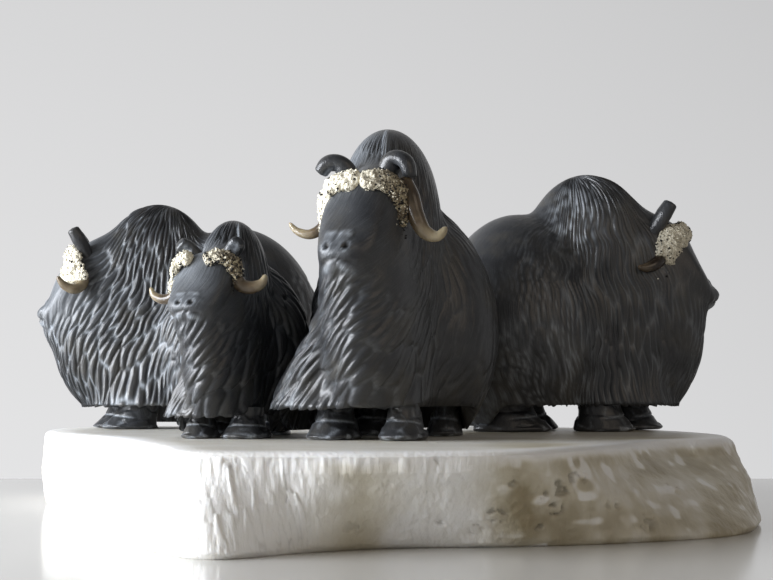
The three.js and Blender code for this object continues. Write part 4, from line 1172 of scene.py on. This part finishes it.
def make_horn(name, ox, pick):
    """A smooth tapered rod that changes tint from root to tip."""
    corners = head_line(ox, pick, HORN_LINES[ox["horns"][pick]], lift=ox["horn_lift"][pick])
    radii = np.array(HORN_RADII) * ox["horn_thick"][pick]
    line, rings, place, angle = rod(ox, corners, radii, radii, HORN_STEPS, HORN_SIDES)
    root, tip = HORN_TINT[name]
    horn = ox_shell(ox, line[0], rings, line[-1], tint=root + (tip - root) * step(place, 0.35, 0.95))
    side = SIDE_NAMES[pick]
    make_piece(f"{name}_polished_horn_{side}", [horn], HORN, [f"{name}_horn_{side}"])


for name, ox in HERD.items():
    for pick in (0, 1):
        make_boss(name, ox, pick)
        make_horn(name, ox, pick)

# %% [markdown]
# ## The alabaster slab
# Alabaster splits in upright fibres, so the broken sides are ridged from top to bottom, with a few deep
# splinters and a chipped hollow at the right. The top is sawn flat and polished. It is white at the left and
# clouded grey-beige at the right, and that beige, on the right of the front and the top, is deepened as
# painted shade of the parts away from the lamp. The splinter furrows and the chipped pits are painted grey as
# shade.

# %% Slab shape
SLAB_OUTLINE = (
    (8, -178, 8, -150), (60, -163, 62, -143), (98, -118, 112, -128), (140, -50, 162, -98),
    (172, -25, 184, -50), (184, 15, 190, 5), (172, 80, 178, 78), (140, 130, 146, 134),
    (80, 170, 82, 168), (-10, 178, -10, 172), (-110, 183, -112, 180), (-172, 165, -176, 160),
    (-187, 110, -184, 105), (-172, 56, -166, 30), (-127, -17, -130, -55), (-92, -105, -92, -150),
    (-68, -172, -60, -188), (-30, -178, -25, -166),
)
SLAB_LEVELS = ((40, 1, 5), (39.4, 1, 3), (38.2, 1, 1.2), (32, 0.9, 0), (20, 0.5, -1.5), (6, 0.12, 0),
               (2.6, 0.04, 0.3), (1.3, 0.02, 1.4), (0, 0, 3.2))
SLAB_COLUMNS = 1150
SLAB_ROWS = 74
SLAB_CROWD = 0.045
SLAB_LIP = 37.5
LIP_ROWS = 13


def slab_rings():
    """Rings from the polished top down the broken side to the foot, the way out and the heights. The
    foot outline and the top outline are mixed by each level's share and drawn in by its bevel."""
    even = np.arange(SLAB_COLUMNS) / SLAB_COLUMNS
    around = even - SLAB_CROWD * np.sin(2 * math.pi * even)
    outline = np.array(SLAB_OUTLINE, float)
    zeros = np.zeros((len(outline), 1))
    top, foot = (smooth_line(np.hstack([corners, zeros]), around, closed=True)
                 for corners in (outline[:, :2], outline[:, 2:]))
    levels = np.array(SLAB_LEVELS, float)[::-1]
    lip = np.linspace(SLAB_THICK, SLAB_LIP, LIP_ROWS + 1)[:-1]
    z = np.concatenate([lip, np.linspace(SLAB_LIP, 0, SLAB_ROWS - LIP_ROWS)])[:, None]
    share, inward = (np.interp(z, levels[:, 0], levels[:, k]) for k in (1, 2))
    rings = foot[None] * (1 - share[..., None]) + top[None] * share[..., None]
    out = unit(rings)
    rings = rings - out * inward[..., None]
    rings[..., 2] = z
    return rings, out, z


SPLINTERS = ((-40, 20, 0.75), (24, 7, 0.8), (-84, 16, 0.3), (120, 20, 0.2), (170, 30, 0.3))
PITS = ((79, 24, 4.5, 1.5), (77, 16, 4, 1.5), (71, 22, 3, 1.2), (85, 28, 3, 1.1), (70, 8, 2.6, 1),
        (52, 14, 5, 0.9), (44, 8, 3.5, 0.8), (102, 16, 4, 0.8), (30, 12, 3, 0.7), (-6, 9, 5, 0.5),
        (118, 8, 5, 0.9), (134, 20, 4, 0.7), (8, 26, 4, 0.4), (88, 28, 3, 0.8), (58, 27, 2.4, 0.8))
SPLINTER_WIDE = 2.3
SPLINTER_TALL = 21
PIT_DEPTH = 1.9
DEEPEST = -3.5
PROUDEST = 1.9
CHIPS_FOLDED = ((1.5, (11, 11, 9), 74), (0.6, (5, 5, 4), 75), (0.35, 2.4, 76))
FIBRES = ((1.1, (16, 16, 22), 61), (0.5, (5, 5, 12), 62), (0.22, (1.6, 1.6, 9), 63), (0.16, 2.2, 64))
TUMBLED = ((1, (2.6, 2.6, 2.2), 65), (0.4, 1.1, 79))
MOTTLED = ((1, (14, 14, 10), 66), (0.4, 4, 67))


def pit_depth(rings, z, facing):
    """Millimetres that the chipped pits are sunk, each a round step with a tumbled floor."""
    tumbled = step(layered(rings, TUMBLED), -0.15, 0.35)
    hollow = 0
    for middle, height, wide, deep in PITS:
        away = np.hypot(rings[..., 0] - middle, 1.2 * (z - height)) / wide
        hollow = hollow + PIT_DEPTH * deep * step(np.exp(-away ** 2), 0.2, 0.75) * tumbled * facing
    return hollow


def slab_relief(rings, out, z):
    """Millimetres that the broken side stands out, how beige it is, partly as painted shade on the right, and
    the grey painted shade in its splinter furrows and pits. Splinters are narrow upright cells, each set in
    or out by chance, and chips are broad folds. The far side has both all along."""
    steps = np.linalg.norm(np.roll(rings[-1], -1, axis=0) - rings[-1], axis=-1)
    run = np.concatenate([[0], np.cumsum(steps)[:-1]])[None, :] + 0 * z
    whole = steps.sum()
    facing = step(-out[..., 1], -0.2, 0.3)
    x = rings[..., 0]
    count = 2 * round(whole / SPLINTER_WIDE / 2)
    gap, tilt, own = lock_cells(run / whole * count + 0.5 * noise(rings, 9, 71), z / SPLINTER_TALL + 0 * x,
                                count, 72)
    splintered = sum(amount * bump(x, middle, wide) for middle, wide, amount in SPLINTERS)
    splintered = splintered * (0.35 + 0.65 * step(noise(rings, (7, 7, 30), 78), -0.4, 0.3))
    far_side = 0.5 * (1 - facing) * step(noise(rings, 40, 73), -0.2, 0.5)
    splintered = np.clip(splintered * facing + far_side, 0, 1)
    standing = step(own, -0.1, 0.5)
    splinters = 0.8 * own * step(gap, 0, 0.14) + 1.8 * tilt * standing
    chipped = step(x, 25, 60) * (1 - 0.75 * step(x, 88, 108)) * facing + 0.6 * (1 - facing)
    chips = layered(rings, CHIPS_FOLDED, folded=True) - 0.8
    hollow = pit_depth(rings, z, facing)
    relief = layered(rings, FIBRES) + splintered * splinters + chipped * chips - hollow
    # Grey along the splinter furrows: painted shade in the cracks.
    edges = splintered * np.exp(-(gap / 0.09) ** 2) * step(own, -0.6, 0.6)
    right = step(x, 32, 72)
    mottled = step(layered(rings, MOTTLED), -0.8, 0.9)
    smooth_tan = bump(x, -3, 15) * step(noise(rings, 14, 68), -0.7, 0.3)
    patch = bump(x, 61, 9) * bump(z, 16, 13)
    # Beige clouds, strongest on the right third of the front: partly the stone's own clouds, partly painted
    # shade of the side turned from the lamp.
    warm = facing * (right * (0.3 + 0.36 * mottled) + 0.4 * smooth_tan + 0.45 * patch)
    warm = warm + 0.25 * (1 - facing) * mottled
    warm = warm * step(38 - z, 0, 4)
    bright = bump(x, 37, 7) * (1 - step(z, 12, 26)) + step(noise(rings, (6, 6, 5), 77), 0.3, 0.7) * right
    # Grey in the floors of the pits as well: painted shade in the hollows.
    edges = np.maximum(edges, 0.9 * step(hollow, 0.7, 1.4))
    return relief, np.clip(warm * (1 - 0.8 * bright), 0, 1), edges


rings, out, z = slab_rings()
relief, warm, edges = slab_relief(rings, out, z)
broken = step(z, 0, 3) * (1 - step(z, 36.5, 39))
rings = rings + out * (np.clip(relief, DEEPEST, PROUDEST) * broken)[..., None]
inner = np.concatenate([rings[:1] * (share, share, 1) for share in (0.3, 0.6, 0.9)])
# Beige clouds on the top, kept off its left part near the lamp: partly the stone's clouds, partly painted
# shade.
top_warm = 0.2 + 0.35 * step(noise(inner, 40, 69), -0.5, 0.8) * step(inner[..., 0], -60, 60)
slab_shell = shell(np.array([0.0, 0, SLAB_THICK]), np.concatenate([inner, rings]), np.zeros(3),
                   warm=np.concatenate([top_warm, warm]),
                   edge=np.concatenate([0 * top_warm, edges * broken]))


# %% Alabaster material
ALABASTER_VEILS = 30
ALABASTER_FIBRES = 1.6
ALABASTER_GRAIN = 2.2


def alabaster_material():
    """White alabaster: beige clouds where the attribute says, partly painted shade, veils 30 mm across,
    fibres 1.6 mm apart, and grey painted shade in the splinter furrows and pits; light goes a few millimetres
    deep."""
    material, tree, shader = new_material("fibrous_alabaster")
    where = add_node(tree, "ShaderNodeTexCoord", {}, "Object")
    warm, edge = (add_node(tree, "ShaderNodeAttribute", {}, "Fac", attribute_name=name)
                  for name in ("warm", "edge"))
    veils = add_node(tree, "ShaderNodeTexNoise", {"Vector": where, "Scale": 1 / (ALABASTER_VEILS * MM),
                     "Detail": 6, "Roughness": 0.6}, "Fac")
    level = add_node(tree, "ShaderNodeMath", {0: veils, 1: 0.35, 2: warm}, "Value",
                     operation="MULTIPLY_ADD")
    body = add_node(tree, "ShaderNodeValToRGB", {"Fac": level}, "Color",
                    stops=((0.12, "#f1f0ee"), (0.3, "#e9e6de"), (0.6, "#c8c0ab"), (0.95, "#9c8f72")))
    # Grey mixed into the furrows and pits: painted shade.
    painted_lighting = add_node(tree, "ShaderNodeMath", {0: edge, 1: 0.45}, "Value", operation="MULTIPLY")
    colour = add_node(tree, "ShaderNodeMix", {"Factor": painted_lighting, "A": body, "B": linear("#8d8a80")},
                      "Result", data_type="RGBA")
    drawn = add_node(tree, "ShaderNodeMapping", {"Vector": where, "Rotation": (0, 0.35, 0),
                     "Scale": (1, 1, 0.1)}, "Vector")
    fibres = add_node(tree, "ShaderNodeTexNoise", {"Vector": drawn, "Scale": 1 / (ALABASTER_FIBRES * MM),
                      "Detail": 4}, "Fac")
    combing = add_node(tree, "ShaderNodeBump", {"Height": fibres, "Strength": 0.6,
                       "Distance": 0.6 * MM}, "Normal")
    grain = add_node(tree, "ShaderNodeTexNoise", {"Vector": where, "Scale": 1 / (ALABASTER_GRAIN * MM),
                     "Detail": 4}, "Fac")
    tooth = add_node(tree, "ShaderNodeBump", {"Height": grain, "Strength": 0.3, "Distance": 0.6 * MM,
                     "Normal": combing}, "Normal")
    plug(tree, shader, {"Base Color": colour, "Roughness": 0.36, "Subsurface Weight": 0.18,
                        "Subsurface Radius": (1, 0.9, 0.75), "Subsurface Scale": 3 * MM,
                        "Normal": tooth})
    return material


make_piece("broken_slab", [slab_shell], alabaster_material(), ["base_slab"])
